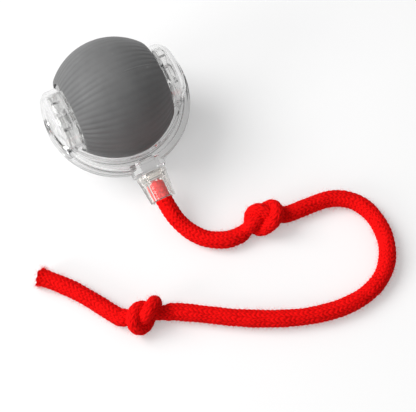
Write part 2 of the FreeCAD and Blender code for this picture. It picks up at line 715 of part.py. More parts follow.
def make_charging_board():
    """Small board that carries the charging socket, standing on the frame's right plate."""
    body = new_body("charging_board")
    section = new_sketch(body, "charging_board_section", "YZ_Plane", PLATE_RIGHT_BACK)
    side = "(sheet.port_width / 2 + 0.8)"
    rectangle(section, "-" + side, "-sheet.board_thickness", side, "0")
    pad(body, "charging_board_slab", section, "%s - sheet.port_board_gap - %s" % (CAP_BACK, PLATE_RIGHT_BACK))
    return place(body, z="sheet.port_centre - sheet.port_height / 2")


def make_end_cap(side, name):
    """Clear cup on the end of the frame; the drum's neck runs round its skirt."""
    body = new_body(name)
    back = CAP_BACK
    bore = "(%s - sheet.skirt_wall)" % CAP_RADIUS
    skirt_end = "(%s - sheet.skirt_depth)" % back
    corners = [
        (back, "0"), (back, bore), (skirt_end, bore), (skirt_end, CAP_RADIUS),
        ("%s - sheet.cap_chamfer" % CAP_FACE, CAP_RADIUS), (CAP_FACE, "%s - sheet.cap_chamfer" % CAP_RADIUS),
        (CAP_FACE, "0"),
    ]
    profile = new_sketch(body, name + "_profile", "XY_Plane")
    outline(profile, mirrored_all(side, corners))
    turned(body, name + "_cup", profile)
    square = new_sketch(body, name + "_square", "YZ_Plane")
    half = "(sheet.key_width / 2 + sheet.fit_gap)"
    rectangle(square, "-" + half, "-" + half, half, half)
    pocket(body, name + "_socket", square, CAP_FACE, back=side > 0)
    holes = [("sheet.screw_shank_radius + sheet.fit_gap", y, z) for y, z in post_places()]
    add_rounds(body, name + "_holes", "YZ_Plane", "0", CAP_FACE, holes, cut=True, back=side > 0)
    if side > 0:
        slot = new_sketch(body, name + "_slot", "YZ_Plane")
        height = "sheet.port_height + 2 * sheet.fit_gap"
        round_rectangle(slot, "sheet.port_width + 2 * sheet.fit_gap", height, "(%s) / 2 - 0.01" % height,
                        "sheet.port_centre")
        pocket(body, name + "_port_slot", slot, CAP_FACE, back=True)
    return place(body)


def make_cap_screws():
    """Four flat-headed screws, two through each cap into the frame's posts."""
    screws = []
    face = number(CAP_FACE)
    head_radius = number("sheet.screw_head_radius")
    head_height = number("sheet.screw_head_height")
    shank_radius = number("sheet.screw_shank_radius")
    length = number("sheet.screw_length")
    for side in (1, -1):
        out = FreeCAD.Vector(side, 0, 0)
        for y, z in post_places():
            seat = FreeCAD.Vector(side * face, number(y), number(z))
            head = Part.makeCylinder(head_radius, head_height, seat, out)
            shank = Part.makeCylinder(shank_radius, length, seat - out * length, out)
            screws.append(head.fuse(shank).removeSplitter())
    group = doc.addObject("Part::Feature", "cap_screws")
    group.Label = "cap_screws"
    group.Shape = Part.makeCompound(screws)
    return place(group)


def make_ear_hub(side, name):
    """Clear ribbed plug in each ear: its square key holds the cap, its tube carries the pole."""
    body = new_body(name)
    plate_outer = "(%s + sheet.hub_plate)" % HUB_FACE
    corners = [(HUB_FACE, "0"), (HUB_FACE, HUB_PLATE_RADIUS), (plate_outer, HUB_PLATE_RADIUS),
               (plate_outer, "sheet.hub_radius"), (HUB_REACH, "sheet.hub_radius")]
    if side > 0:
        corners += [(HUB_REACH, "sheet.nose_radius"), (POLE_FACE, "sheet.nose_radius"),
                    (POLE_FACE, "0")]
    else:
        corners += [(HUB_REACH, "0")]
    profile = new_sketch(body, name + "_profile", "XY_Plane")
    outline(profile, mirrored_all(side, corners))
    turned(body, name + "_plug", profile)
    key = new_sketch(body, name + "_key", "YZ_Plane", mirrored(side, HUB_FACE))
    half = "sheet.key_width / 2"
    rectangle(key, "-" + half, "-" + half, half, half)
    pad(body, name + "_key_bar", key, "sheet.key_depth", back=side > 0)
    rib = new_sketch(body, name + "_rib", "YZ_Plane", mirrored(side, plate_outer))
    half_rib = "sheet.hub_rib_width / 2"
    rectangle(rib, "sheet.hub_radius - 0.3", "-" + half_rib, "%s - 0.4" % HUB_PLATE_RADIUS, half_rib)
    rib_reach = "%s - sheet.hub_rib_gap - %s" % (EAR_SHOULDER, plate_outer)
    rib_pad = pad(body, name + "_rib_web", rib, rib_reach, back=side < 0)
    polar(body, name + "_ribs", rib_pad, "sheet.hub_rib_count")
    if side < 0:
        add_rounds(body, name + "_bore", "YZ_Plane", "0", BALL_RADIUS,
                   [("sheet.hub_bore", "0", "0")], cut=True)
    return place(body)


def make_power_button():
    """Clear push button in the left ear's pole; its stem runs through the hub to the switch."""
    body = new_body("power_button")
    step = "(%s - sheet.button_head)" % POLE_FACE
    tip = "(%s + sheet.fit_gap + sheet.button_travel)" % SWITCH_FRONT
    corners = [(POLE_FACE, "0"), (POLE_FACE, "sheet.nose_radius"), (step, "sheet.nose_radius"),
               (step, "sheet.button_stem_radius"), (tip, "sheet.button_stem_radius"), (tip, "0")]
    profile = new_sketch(body, "button_profile", "XY_Plane")
    outline(profile, mirrored_all(-1, corners))
    turned(body, "button_plunger", profile)
    return place(body)


def band_arc(reach, half_width):
    """Radius and sink of an arc through a point on the tail's axis and one on each side of the pole."""
    sink = "((%s^2 - %s^2) / (2 * %s))" % (reach, half_width, reach)
    return "(%s - %s)" % (reach, sink), sink


def add_band(body):
    """The yoke's horseshoe band, broad at the tail and slim at the ears, with a channel each face."""
    outer, outer_sink = band_arc(BAND_BACK, BALL_RADIUS)
    inner, inner_sink = band_arc(BAND_FRONT, BAND_END_FRONT)
    end = "sheet.band_end"
    outer_x = "sqrt(%s^2 - (%s + %s)^2)" % (outer, end, outer_sink)
    inner_x = "sqrt(%s^2 - (%s + %s)^2)" % (inner, end, inner_sink)
    outer_arc = (outer, "0", "-" + outer_sink)
    inner_arc = (inner, "0", "-" + inner_sink)
    corners = [
        ("-" + outer_x, end), ("0", "-" + BAND_BACK), (outer_x, end),
        (inner_x, end), ("0", "-" + BAND_FRONT), ("-" + inner_x, end),
    ]
    section = new_sketch(body, "band_section", "XY_Plane")
    outline(section, corners, {0: outer_arc, 1: outer_arc, 3: inner_arc, 4: inner_arc})
    band = pad(body, "band", section, "sheet.band_width", symmetric=True)
    doc.recompute()
    rim = []
    for index, edge in enumerate(band.Shape.Edges, start=1):
        curve = edge.Curve
        if hasattr(curve, "Radius") and abs(curve.Radius - number(outer)) < 1e-6:
            rim.append("Edge%d" % index)
    bevel = body.newObject("PartDesign::Chamfer", "band_bevel")
    bevel.Base = (band, rim)
    bevel.setExpression("Size", "sheet.band_chamfer")
    lip = "(%s - sheet.band_lip)" % outer
    wall = "(%s + sheet.band_rim)" % inner
    meet_y = "((%s^2 - %s^2 - %s^2 + %s^2) / (2 * (%s - %s)))" % (
        lip, wall, outer_sink, inner_sink, outer_sink, inner_sink)
    meet_x = "sqrt(%s^2 - (%s + %s)^2)" % (lip, meet_y, outer_sink)
    channel_corners = [
        ("-" + meet_x, meet_y), ("0", "-(%s + %s)" % (lip, outer_sink)), (meet_x, meet_y),
        ("0", "-(%s + %s)" % (wall, inner_sink)),
    ]
    lip_arc = (lip, "0", "-" + outer_sink)
    wall_arc = (wall, "0", "-" + inner_sink)
    for side, word in ((1, "upper"), (-1, "lower")):
        face = mirrored(side, "sheet.band_width / 2")
        channel = new_sketch(body, word + "_channel_section", "XY_Plane", face)
        outline(channel, channel_corners, {0: lip_arc, 1: lip_arc, 2: wall_arc, 3: wall_arc})
        pocket(body, word + "_channel", channel, "sheet.channel_depth", back=side < 0)


def ball_station(radius, inset="0"):
    """Axial station at which the ball that the ears complete has the given radius."""
    return "sqrt((%s - %s)^2 - (%s)^2)" % (BALL_RADIUS, inset, radius)


def add_ear(body, side, word):
    """One ear: a hollow domed cup that rounds the roller's end off to a full ball."""
    dome = new_sketch(body, word + "_dome_profile", "XY_Plane")
    outline(dome, mirrored_all(side, [
        (EAR_FACE, "0"), (EAR_FACE, "sheet.ear_radius"),
        (EAR_SHOULDER, "sheet.ear_radius"),
        (ball_station("sheet.ear_round_radius"), "sheet.ear_round_radius"),
        (ball_station("sheet.ear_mid_radius"), "sheet.ear_mid_radius"),
        (ball_station("sheet.pole_bore"), "sheet.pole_bore"),
        (ball_station("sheet.pole_bore"), "0"),
    ]))
    turned(body, word + "_dome", dome)
    bore = "(sheet.ear_radius - sheet.ear_wall)"
    hollow = new_sketch(body, word + "_hollow_profile", "XY_Plane")
    outline(hollow, mirrored_all(side, [
        (HALF, "0"), (HALF, bore), (EAR_SHOULDER, bore),
        (ball_station("sheet.ear_mid_radius", "sheet.ear_wall"), "sheet.ear_mid_radius"),
        (ball_station("sheet.pole_bore", "sheet.ear_wall"), "sheet.pole_bore"),
        (ball_station("sheet.pole_bore", "sheet.ear_wall"), "0"),
    ]))
    turned(body, word + "_hollow", hollow, kind="Groove")


def make_yoke_frame():
    """Clear one-piece yoke: the band, both ears, the tail lug and its snap pin."""
    body = new_body("yoke_frame")
    add_band(body)
    lug = new_sketch(body, "lug_section", "XZ_Plane", "%s - sheet.lug_depth" % SEAM)
    round_rectangle(lug, "sheet.lug_width", "sheet.lug_height", "sheet.lug_round")
    pad(body, "lug", lug, "sheet.lug_depth")
    add_ear(body, 1, "right")
    add_ear(body, -1, "left")
    poles = new_sketch(body, "pole_rounds", "YZ_Plane")
    circle(poles, "sheet.pole_bore")
    pocket(body, "pole_bores", poles, "3 * %s" % BALL_RADIUS, symmetric=True)
    pin = new_sketch(body, "snap_pin_round", "XZ_Plane", SEAM)
    circle(pin, "sheet.neck_pin_radius")
    pad(body, "snap_pin", pin, "sheet.neck_pin_length")
    return place(body)


def make_tail_ferrule():
    """Clear tapered cup with flat panels that snaps on the lug's pin and grips the rope."""
    body = new_body("tail_ferrule")
    start = "(%s + sheet.fit_gap)" % SEAM
    taper_start = "(%s + sheet.collar_length)" % SEAM
    panels = new_sketch(body, "panel_section", "XZ_Plane", taper_start)
    corners = []
    for step in range(int(number("sheet.panel_count"))):
        angle = "(360deg * %d / sheet.panel_count)" % step
        corners.append(("sheet.ferrule_back_radius * cos(%s + 0.001deg)" % angle,
                        "sheet.ferrule_back_radius * sin(%s + 0.001deg)" % angle))
    outline(panels, corners)
    cone = pad(body, "panelled_cone", panels, "%s - %s" % (TAIL_REACH, taper_start))
    narrowing = "(sheet.ferrule_back_radius - sheet.mouth_radius) * cos(180deg / sheet.panel_count)"
    cone.setExpression("TaperAngle", "-atan(%s / (%s - %s))" % (narrowing, TAIL_REACH, taper_start))
    collar = new_sketch(body, "collar_profile", "XY_Plane")
    corners = [("0", "-" + start), ("sheet.collar_radius", "-" + start),
               ("sheet.collar_radius", "-(%s - sheet.collar_bevel)" % taper_start),
               ("sheet.collar_radius - sheet.collar_bevel", "-" + taper_start), ("0", "-" + taper_start)]
    outline(collar, corners)
    turned(body, "collar", collar, axis="V_Axis")
    socket = "(sheet.neck_pin_radius + sheet.fit_gap)"
    ledge = "(%s + sheet.neck_pin_length + sheet.fit_gap)" % SEAM
    bore = "(sheet.rope_radius / cos(180deg / sheet.rope_sides) + sheet.rope_gap)"
    flare = bore + " + sheet.mouth_flare"
    hollow = new_sketch(body, "ferrule_hollow", "XY_Plane")
    above = "-(%s - sheet.mouth_flare)" % start
    past = "-(%s + sheet.mouth_flare)" % TAIL_REACH
    corners = [("0", above), (socket, above), (socket, "-" + ledge), (bore, "-" + ledge),
               (bore, "-(%s - sheet.mouth_flare)" % TAIL_REACH), (flare, "-" + TAIL_REACH),
               (flare, past), ("0", past)]
    outline(hollow, corners)
    turned(body, "ferrule_bore", hollow, axis="V_Axis", kind="Groove")
    return place(body)


def tail_point(reach):
    """A point on the tail's axis, in the part's own frame."""
    tilt = math.radians(number("sheet.tail_drop"))
    return FreeCAD.Vector(0, number(ROLLER_Y) - reach * math.cos(tilt),
                          number("sheet.roller_radius") - reach * math.sin(tilt))


# The rope's route, chosen by hand: X, Y and lift above a rope lying flat, in millimetres.
LEAD_ROUTE = [(2.0, -33.2, 0), (5.3, -38.8, 0), (10.9, -42.1, 0), (17.8, -41.9, 0.55)]
BIGHT_ROUTE = [
    (28.9, -41.9, 0.55), (36.0, -43.5, 0), (45.2, -44.4, 0), (52.0, -52.0, 0), (52.3, -63.0, 0),
    (46.0, -72.4, 0), (35.0, -76.1, 0), (20.2, -73.6, 0), (4.6, -65.8, 0), (-7.6, -56.2, 0),
    (-16.2, -52.6, 0.55),
]
END_ROUTE = [(-26.9, -49.0, 0.55), (-31.0, -42.2, 0), (-35.9, -33.8, 0), (-41.6, -27.2, 0)]


def rope_ring(centre, along, width, height):
    """A closed ring of straight sides square to the rope, with a flat side underneath."""
    sides = int(number("sheet.rope_sides"))
    corner = 1 / math.cos(math.pi / sides)
    across = along.cross(FreeCAD.Vector(0, 0, 1)).normalize()
    upward = across.cross(along).normalize()
    points = []
    for index in range(sides):
        angle = 2 * math.pi * (index + 0.5) / sides - math.pi / 2
        points.append(centre + across * (width * corner * math.cos(angle))
                      + upward * (height * corner * math.sin(angle)))
    return Part.makePolygon(points + points[:1])


def rope_path(points):
    """Straight runs joined by tangent arcs, each arc as large as its two runs allow."""
    edges = []
    here = points[0]
    for before, corner, after in zip(points, points[1:], points[2:]):
        back = before - corner
        ahead = after - corner
        reach = 0.45 * min(back.Length, ahead.Length)
        turn = math.pi - back.getAngle(ahead)
        radius = reach / math.tan(turn / 2)
        back.normalize()
        ahead.normalize()
        start = corner + back * reach
        end = corner + ahead * reach
        inward = (back + ahead).normalize()
        middle = corner + inward * (math.hypot(radius, reach) - radius)
        edges.append(Part.LineSegment(here, start).toShape())
        edges.append(Part.Arc(start, middle, end).toShape())
        print("rope arc radius %.1f mm, turn %.0f degrees" % (radius, math.degrees(turn)))
        here = end
    edges.append(Part.LineSegment(here, points[-1]).toShape())
    return Part.Wire(edges)


def make_rope_stretch(name, points):
    """A free stretch of the knitted rope, as a plain tube."""
    radius = number("sheet.rope_radius")
    sides = number("sheet.rope_sides")
    path = rope_path(points)
    pipe = path.makePipeShell([rope_ring(points[0], points[1] - points[0], radius, radius)], True, False)
    area = sides * radius ** 2 * math.tan(math.pi / sides)
    expected = area * path.Length
    print("%s: length %.1f mm, volume %.1f of %.1f mm3" % (name, path.Length, pipe.Volume, expected))
    stretch = doc.addObject("Part::Feature", name)
    stretch.Label = name
    stretch.Shape = pipe
    return stretch


def make_knot(name, before, after):
    """The outer form of a tight overhand knot, square to the rope where it goes in and comes out."""
    radius = number("sheet.rope_radius")
    width = number("sheet.knot_width")
    height = number("sheet.knot_height")
    start = before[-1]
    end = after[0]
    along = end - start
    rings = [rope_ring(start, start - before[-2], radius, radius)]
    for share, size in ((0.16, 0.86), (0.38, 1.0), (0.64, 0.96), (0.86, 0.8)):
        centre = start + along * share
        centre.z = height * size
        rings.append(rope_ring(centre, along, width * size, height * size))
    rings.append(rope_ring(end, after[1] - end, radius, radius))
    knot = doc.addObject("Part::Feature", name)
    knot.Label = name
    knot.Shape = Part.makeLoft(rings, True, True)
    return knot


def make_rope():
    """The rope: three free stretches with an overhand knot between each two."""
    pin_end = number("%s + sheet.neck_pin_length" % SEAM)
    clear_of_mouth = number("%s + sheet.rope_straight" % TAIL_REACH)
    lying = number("sheet.rope_radius + sheet.floor_gap")
    lead = [tail_point(pin_end), tail_point(clear_of_mouth)]
    lead += [FreeCAD.Vector(x, y, lying + lift) for x, y, lift in LEAD_ROUTE]
    bight = [FreeCAD.Vector(x, y, lying + lift) for x, y, lift in BIGHT_ROUTE]
    end = [FreeCAD.Vector(x, y, lying + lift) for x, y, lift in END_ROUTE]
    return [
        make_rope_stretch("rope_lead", lead),
        make_knot("first_knot", lead, bight),
        make_rope_stretch("rope_bight", bight),
        make_knot("second_knot", bight, end),
        make_rope_stretch("rope_end", end),
    ]


def make_all():
    pieces = [
        make_yoke_frame(),
        make_ear_hub(1, "right_ear_hub"),
        make_ear_hub(-1, "left_ear_hub"),
        make_power_button(),
        make_end_cap(1, "right_end_cap"),
        make_end_cap(-1, "left_end_cap"),
        make_cap_screws(),
        make_sleeve(),
        make_drum_shell(1, "right_drum_shell"),
        make_drum_shell(-1, "left_drum_shell"),
        make_ring_gear(),
        make_idler_gear(),
        make_idler_pin(),
        make_motor_pinion(),
        make_motor(),
        make_inner_frame(),
        make_battery(),
        make_circuit_board(),
        make_button_switch(),
        board_piece("control_chip", "-0.5 * " + BOARD_RADIUS, "0.4 * " + BOARD_RADIUS,
                    CHIP_SIZE, CHIP_SIZE, "sheet.chip_height"),
        board_piece("driver_chip", "0.49 * " + BOARD_RADIUS, "0.4 * " + BOARD_RADIUS,
                    "0.85 * " + CHIP_SIZE, CHIP_SIZE, "sheet.chip_height"),
        make_status_lamp(),
        make_motion_sensor(),
        make_charging_port(),
        make_charging_board(),
        make_tail_ferrule(),
    ]
    pieces += make_rope()
    return pieces


pieces = make_all()
doc.recompute()
for item in doc.Objects:
    if "Invalid" in item.State or "Error" in item.State:
        raise RuntimeError("%s is %s" % (item.Name, item.State))
for piece in pieces:
    if piece.Shape.isNull() or not piece.Shape.isValid():
        raise RuntimeError("%s has no valid shape" % piece.Label)
for piece in pieces:
    piece.Shape.exportStep("parts/%s.step" % piece.Label)
    print("%-20s %9.2f mm3, %d solid(s)" % (piece.Label, piece.Shape.Volume, len(piece.Shape.Solids)))
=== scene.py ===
import bmesh
import bpy
import math
import random
import numpy as np
from mathutils import Matrix, Vector


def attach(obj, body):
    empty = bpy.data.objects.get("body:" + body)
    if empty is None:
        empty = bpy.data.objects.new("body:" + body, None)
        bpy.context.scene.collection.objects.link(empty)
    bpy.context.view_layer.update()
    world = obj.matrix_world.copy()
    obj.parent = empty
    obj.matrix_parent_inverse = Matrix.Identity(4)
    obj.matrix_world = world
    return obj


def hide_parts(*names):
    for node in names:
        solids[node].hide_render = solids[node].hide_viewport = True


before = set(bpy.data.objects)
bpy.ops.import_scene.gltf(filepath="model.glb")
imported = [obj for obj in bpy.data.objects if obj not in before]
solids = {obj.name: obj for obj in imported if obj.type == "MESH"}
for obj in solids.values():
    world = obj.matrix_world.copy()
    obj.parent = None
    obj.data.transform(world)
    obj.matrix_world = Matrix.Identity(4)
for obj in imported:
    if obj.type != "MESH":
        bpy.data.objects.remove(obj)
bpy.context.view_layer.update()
scene = bpy.context.scene
scene.view_settings.view_transform = "Standard"
random.seed(43)

# Camera.
# A long lens looking steeply down on the ball from behind its left ear, as the photograph does.

CAMERA_PLACE = (-0.0642, -0.1709, 0.3163)
CAMERA_DROP = 27.0
CAMERA_TURN = -28.2
CAMERA_LENS = 103.8

camera_data = bpy.data.cameras.new("camera")
camera_data.sensor_width = 36
camera_data.lens = CAMERA_LENS
camera_data.clip_start = 0.01
camera_data.clip_end = 20
camera = bpy.data.objects.new("camera", camera_data)
camera.location = CAMERA_PLACE
camera.rotation_euler = (math.radians(CAMERA_DROP), 0, math.radians(CAMERA_TURN))
scene.collection.objects.link(camera)
scene.camera = camera

# Rope.
# Red tubular cotton rope, knitted in fine columns of stitches and soft to the touch. It is gripped in
# the tail cup, is tied in two tight overhand knots that pinch it thinner, and ends cut and bare.

ROPE_RADIUS = 0.0025
ROPE_STITCH = 0.00135
ROPE_COLUMNS = 10
ROPE_STITCH_DEPTH = 0.00030
ROPE_RINGS_PER_STITCH = 7
SLACK_SWELL = 0.035
STITCHES_IN_CUP = 8
ROPE_SIDES = 80
KNOT_SIZE = 0.00375
KNOT_PINCH = 0.84
KNOT_REACH = 0.0075
KNOT_FADE = 0.0025
STRAND_GAP = 0.0029
KNOT_STEP = 0.001
KNOT_ROUNDS = 400
KNOT_GIVE = 0.35
YARN_REPEAT = 61
FRAYED_LENGTH = 0.0018
RECESSED_END = 0.0009
ROUNDED_START = 0.0016
ABOVE_FLOOR = 0.00005
FIBRE_COUNT = 12000
FIBRE_WIDTH = 0.000028
FIBRE_LENGTHS = (0.0005, 0.0017)
FIBRE_JOINTS = 3
FIRST_FUZZY_RING = 130
RED_LIGHT = (0.88, 0.005, 0.005)
# The darker red below is painted shade, for the knit's gaps between yarns.
RED_GAP_SHADE = (0.40, 0.001, 0.001)

# Points of the route, in the order in which the rope leaves the cup.
ROPE_LEAD = [
    (0.0, -0.0181, 0.0087), (0.0, -0.0272, 0.0054), (0.0020, -0.0334, 0.0027), (0.0053, -0.0390, 0.0025),
    (0.0107, -0.0424, 0.0025), (0.0151, -0.0428, 0.0025), (0.0183, -0.0418, 0.0026),
]
ROPE_BIGHT = [
    (0.0275, -0.0422, 0.0027), (0.0311, -0.0435, 0.0025), (0.0364, -0.0438, 0.0025),
    (0.0460, -0.0448, 0.0025), (0.0524, -0.0516, 0.0025), (0.0526, -0.0634, 0.0025),
    (0.0462, -0.0731, 0.0025), (0.0350, -0.0770, 0.0025), (0.0202, -0.0746, 0.0025),
    (0.0046, -0.0668, 0.0025), (-0.0076, -0.0582, 0.0025), (-0.0130, -0.0546, 0.0025),
    (-0.0166, -0.0541, 0.0026),
]
ROPE_END = [
    (-0.0247, -0.0525, 0.0027), (-0.0274, -0.0486, 0.0025), (-0.0318, -0.0403, 0.0025),
    (-0.0362, -0.0333, 0.0025), (-0.0416, -0.0272, 0.0025),
]
# An overhand knot before it is pulled tight, in knot sizes: along the rope, to its left, and up.
OVERHAND = [
    (-1.55, -0.55, -0.10), (-0.80, -0.95, -0.45), (0.25, -1.10, 0.40), (1.25, -0.85, 0.10),
    (1.50, 0.35, -0.60), (0.75, 1.40, -0.20), (-0.50, 1.50, 0.35), (-1.40, 0.60, 0.60),
    (-1.15, -0.85, 0.65), (-0.45, -1.95, 0.10), (0.45, -1.30, -0.65), (0.40, 0.00, -0.15),
    (1.00, 0.45, 0.60), (1.70, 0.30, 0.20),
]
FIRST_KNOT = {"centre": (0.0225, -0.0418, 0.0050), "turn": 2.0, "roll": 165.0, "flip": 1}
SECOND_KNOT = {"centre": (-0.0207, -0.0546, 0.0050), "turn": 180.0, "roll": 140.0, "flip": -1}


def loose_knot(knot):
    """The open overhand knot's points, turned to the rope's direction."""
    turn = Matrix.Rotation(math.radians(knot["turn"]), 3, "Z")
    roll = Matrix.Rotation(math.radians(knot["roll"]), 3, "X")
    centre = Vector(knot["centre"])
    points = []
    for along, left, up in OVERHAND:
        points.append(centre + turn @ roll @ Vector((along, left * knot["flip"], up)) * KNOT_SIZE)
    return points


def even_points(line, step):
    """Points at even steps along a line of straight runs, as an array."""
    runs = np.linalg.norm(np.diff(line, axis=0), axis=1)
    reach = np.concatenate([[0], np.cumsum(runs)])
    goals = np.linspace(0, reach[-1], max(4, round(reach[-1] / step)) + 1)
    return np.stack([np.interp(goals, reach, line[:, axis]) for axis in range(3)], axis=1)


def pulled_tight(before, knot, after):
    """Draws a knot tight: it shortens like a string, but its strands press and don't pass each other."""
    line = even_points(np.array([tuple(point) for point in [*before, *loose_knot(knot), *after]]), KNOT_STEP)
    start, end = line[0].copy(), line[-1].copy()
    heading = (line[1] - start, line[-2] - end)
    for number in range(KNOT_ROUNDS):
        line[1:-1] += KNOT_GIVE * ((line[:-2] + line[2:]) / 2 - line[1:-1])
        apart = line[:, None, :] - line[None, :, :]
        distance = np.linalg.norm(apart, axis=2) + 1e-12
        order = np.arange(len(line))
        other_strand = np.abs(order[:, None] - order[None, :]) * KNOT_STEP > 1.45 * STRAND_GAP
        pressed = np.where(other_strand & (distance < STRAND_GAP), (STRAND_GAP - distance) / distance, 0)
        line += KNOT_GIVE * (apart * pressed[:, :, None]).sum(axis=1)
        line[:, 2] = np.maximum(line[:, 2], KNOT_PINCH * ROPE_RADIUS)
        line[0], line[-1] = start, end
        line[1], line[-2] = start + heading[0], end + heading[1]
        if number % 4 == 3:
            line = even_points(line, KNOT_STEP)
    return [Vector(point) for point in line]


def finished_mesh(piece):
    """A new mesh of what a piece's curve or modifiers make."""
    bpy.context.view_layer.update()
    return bpy.data.meshes.new_from_object(piece.evaluated_get(bpy.context.evaluated_depsgraph_get()))


def smooth_line(name, points):
    """Closely spaced points along one smooth spline with these control points."""
    curve = bpy.data.curves.new(name, "CURVE")
    curve.dimensions = "3D"
    curve.resolution_u = 24
    spline = curve.splines.new("NURBS")
    spline.points.add(len(points) - 1)
    for place, point in zip(points, spline.points):
        point.co = (*place, 1)
    spline.order_u = 3
    spline.use_endpoint_u = True
    holder = bpy.data.objects.new(name, curve)
    scene.collection.objects.link(holder)
    line = finished_mesh(holder)
    places = [vertex.co.copy() for vertex in line.vertices]
    bpy.data.objects.remove(holder)
    bpy.data.meshes.remove(line)
    return places


def even_steps(line, step):
    """Points at even steps along a line, each with the line's direction there."""
    places = [Vector(point) for point in even_points(np.array([tuple(point) for point in line]), step)]
    last = len(places) - 1
    directions = []
    for number in range(last + 1):
        before = places[max(0, number - 1)]
        after = places[min(last, number + 1)]
        directions.append((after - before).normalized())
    return places, directions


def carried_frames(directions):
    """Two directions square to the line at each point, carried along it without twist."""
    across = directions[0].cross(Vector((0, 0, 1))).normalized()
    frames = []
    for direction in directions:
        across = (across - direction * across.dot(direction)).normalized()
        frames.append((across, direction.cross(across)))
    return frames


def eased(share):
    """A share from 0 to 1 that starts and ends softly."""
    return share * share * (3 - 2 * share)


yarn_lift = [[random.uniform(0.70, 1.0) for course in range(YARN_REPEAT)] for wale in range(ROPE_COLUMNS)]


def stitch_height(wale, course):
    """Height of the knit, 0 in a gap to 1 on a yarn: each column holds stacked V stitches, some slacker."""
    wander = 0.16 * math.sin(0.63 * course + 2.4 * wale) + 0.10 * math.sin(1.9 * course - 1.3 * wale)
    across = wale + wander
    column = math.floor(across)
    from_middle = abs(across - column - 0.5) * 2
    lean = course + 0.75 * from_middle + 0.5 * wander
    yarn = 0.5 + 0.5 * math.cos(2 * math.pi * lean)
    leg = math.sin(math.pi * min(1, 0.12 + 0.88 * from_middle)) ** 0.5 if from_middle < 0.98 else 0.3
    lift = yarn_lift[column % ROPE_COLUMNS][math.floor(lean) % YARN_REPEAT]
    return leg * lift * (0.2 + 0.8 * yarn ** 0.8)


def add_float_attribute(mesh, name, values):
    """Gives each of a mesh's points a number that its material can read."""
    attribute = mesh.attributes.new(name, "FLOAT", "POINT")
    attribute.data.foreach_set("value", values)


def object_from(name, vertices, faces, smooth=True):
    """A new mesh object made from vertices and faces."""
    mesh = bpy.data.meshes.new(name)
    mesh.from_pydata(vertices, [], faces)
    mesh.update()
    if smooth:
        mesh.shade_smooth()
    piece = bpy.data.objects.new(name, mesh)
    scene.collection.objects.link(piece)
    return piece


def skin_faces(rows, sides, closed=False):
    """Quads between neighbouring rings of points; a closed row of rings ends where it starts."""
    faces = []
    for row in range(rows if closed else rows - 1):
        low = row * sides
        high = (row + 1) % rows * sides
        for side in range(sides):
            beside = (side + 1) % sides
            faces.append((low + side, low + beside, high + beside, high + side))
    return faces


def tube_faces(rings, sides):
    """A tube's faces, with a fan on the middle point of each end; those points come after the rings."""
    faces = skin_faces(rings, sides)
    first_middle = rings * sides
    last_ring = first_middle - sides
    for side in range(sides):
        beside = (side + 1) % sides
        faces.append((first_middle, beside, side))
        faces.append((first_middle + 1, last_ring + side, last_ring + beside))
    return faces


rope_control = [
    *ROPE_LEAD[:-2], *pulled_tight(ROPE_LEAD[-2:], FIRST_KNOT, ROPE_BIGHT[:2]),
    *ROPE_BIGHT[2:-2], *pulled_tight(ROPE_BIGHT[-2:], SECOND_KNOT, ROPE_END[:2]), *ROPE_END[2:],
]
rope_line = smooth_line("rope_route", rope_control)
rope_places, rope_directions = even_steps(rope_line, ROPE_STITCH / ROPE_RINGS_PER_STITCH)
rope_frames = carried_frames(rope_directions)
knot_centres = [Vector(FIRST_KNOT["centre"]), Vector(SECOND_KNOT["centre"])]

rope_vertices = []
rope_depths = []
for number, (place, (across, upward)) in enumerate(zip(rope_places, rope_frames)):
    nearest = min((place - centre).length for centre in knot_centres)
    pinch = 1 - (1 - KNOT_PINCH) * eased(max(0, min(1, (KNOT_REACH - nearest) / KNOT_FADE)))
    travelled = number / ROPE_RINGS_PER_STITCH
    swell = 1 + SLACK_SWELL * min(1, travelled / STITCHES_IN_CUP)
    swell += 0.014 * math.sin(travelled * 0.37) + 0.012 * math.sin(travelled * 0.91 + 1)
    to_end = (len(rope_places) - 1 - number) * ROPE_STITCH / ROPE_RINGS_PER_STITCH
    frayed = max(0, 1 - to_end / FRAYED_LENGTH) ** 2
    shrunk = max(0, 1 - travelled * ROPE_STITCH / ROUNDED_START)
    for side in range(ROPE_SIDES):
        angle = 2 * math.pi * side / ROPE_SIDES
        height = stitch_height(ROPE_COLUMNS * side / ROPE_SIDES, travelled)
        tuft = 0.5 + 0.5 * math.sin(5 * angle + 0.8) * math.cos(2 * angle)
        radius = ROPE_RADIUS * pinch * (swell + 0.15 * frayed * tuft) - ROPE_STITCH_DEPTH * (1 - height)
        radius *= math.sqrt(max(0.04, 1 - shrunk * shrunk))
        drawn_out = rope_directions[number] * (0.0006 * frayed * (tuft - 0.4))
        rim = place + drawn_out + (across * math.cos(angle) + upward * math.sin(angle)) * radius
        rim.z = max(rim.z, ABOVE_FLOOR)
        rope_vertices.append(rim)
        rope_depths.append(height * (1 - 0.6 * frayed))
rope_vertices += [rope_places[0], rope_places[-1] - rope_directions[-1] * RECESSED_END]
rope_depths += [0.2, 0.0]
rope = object_from("rope", rope_vertices, tube_faces(len(rope_places), ROPE_SIDES))
add_float_attribute(rope.data, "stitch", rope_depths)


def set_inputs(tree, node, values):
    """Sets a node's inputs: another node's output is linked, and anything else is a plain value."""
    for socket, value in values.items():
        if isinstance(value, bpy.types.NodeSocket):
            tree.links.new(value, node.inputs[socket])
        else:
            node.inputs[socket].default_value = value


def new_finish(name, colour, roughness, plain=None):
    """A material on one Principled shader, with its plain values set on the shader's own sockets."""
    material = bpy.data.materials.new(name)
    material.use_nodes = True
    tree = material.node_tree
    shader = tree.nodes["Principled BSDF"]
    set_inputs(tree, shader, {"Base Color": (*colour, 1), "Roughness": roughness, **(plain or {})})
    return material, tree, shader


def add_node(tree, kind, values=None, **settings):
    """A node with its settings and its inputs."""
    node = tree.nodes.new(kind)
    for setting, value in settings.items():
        setattr(node, setting, value)
    set_inputs(tree, node, values or {})
    return node


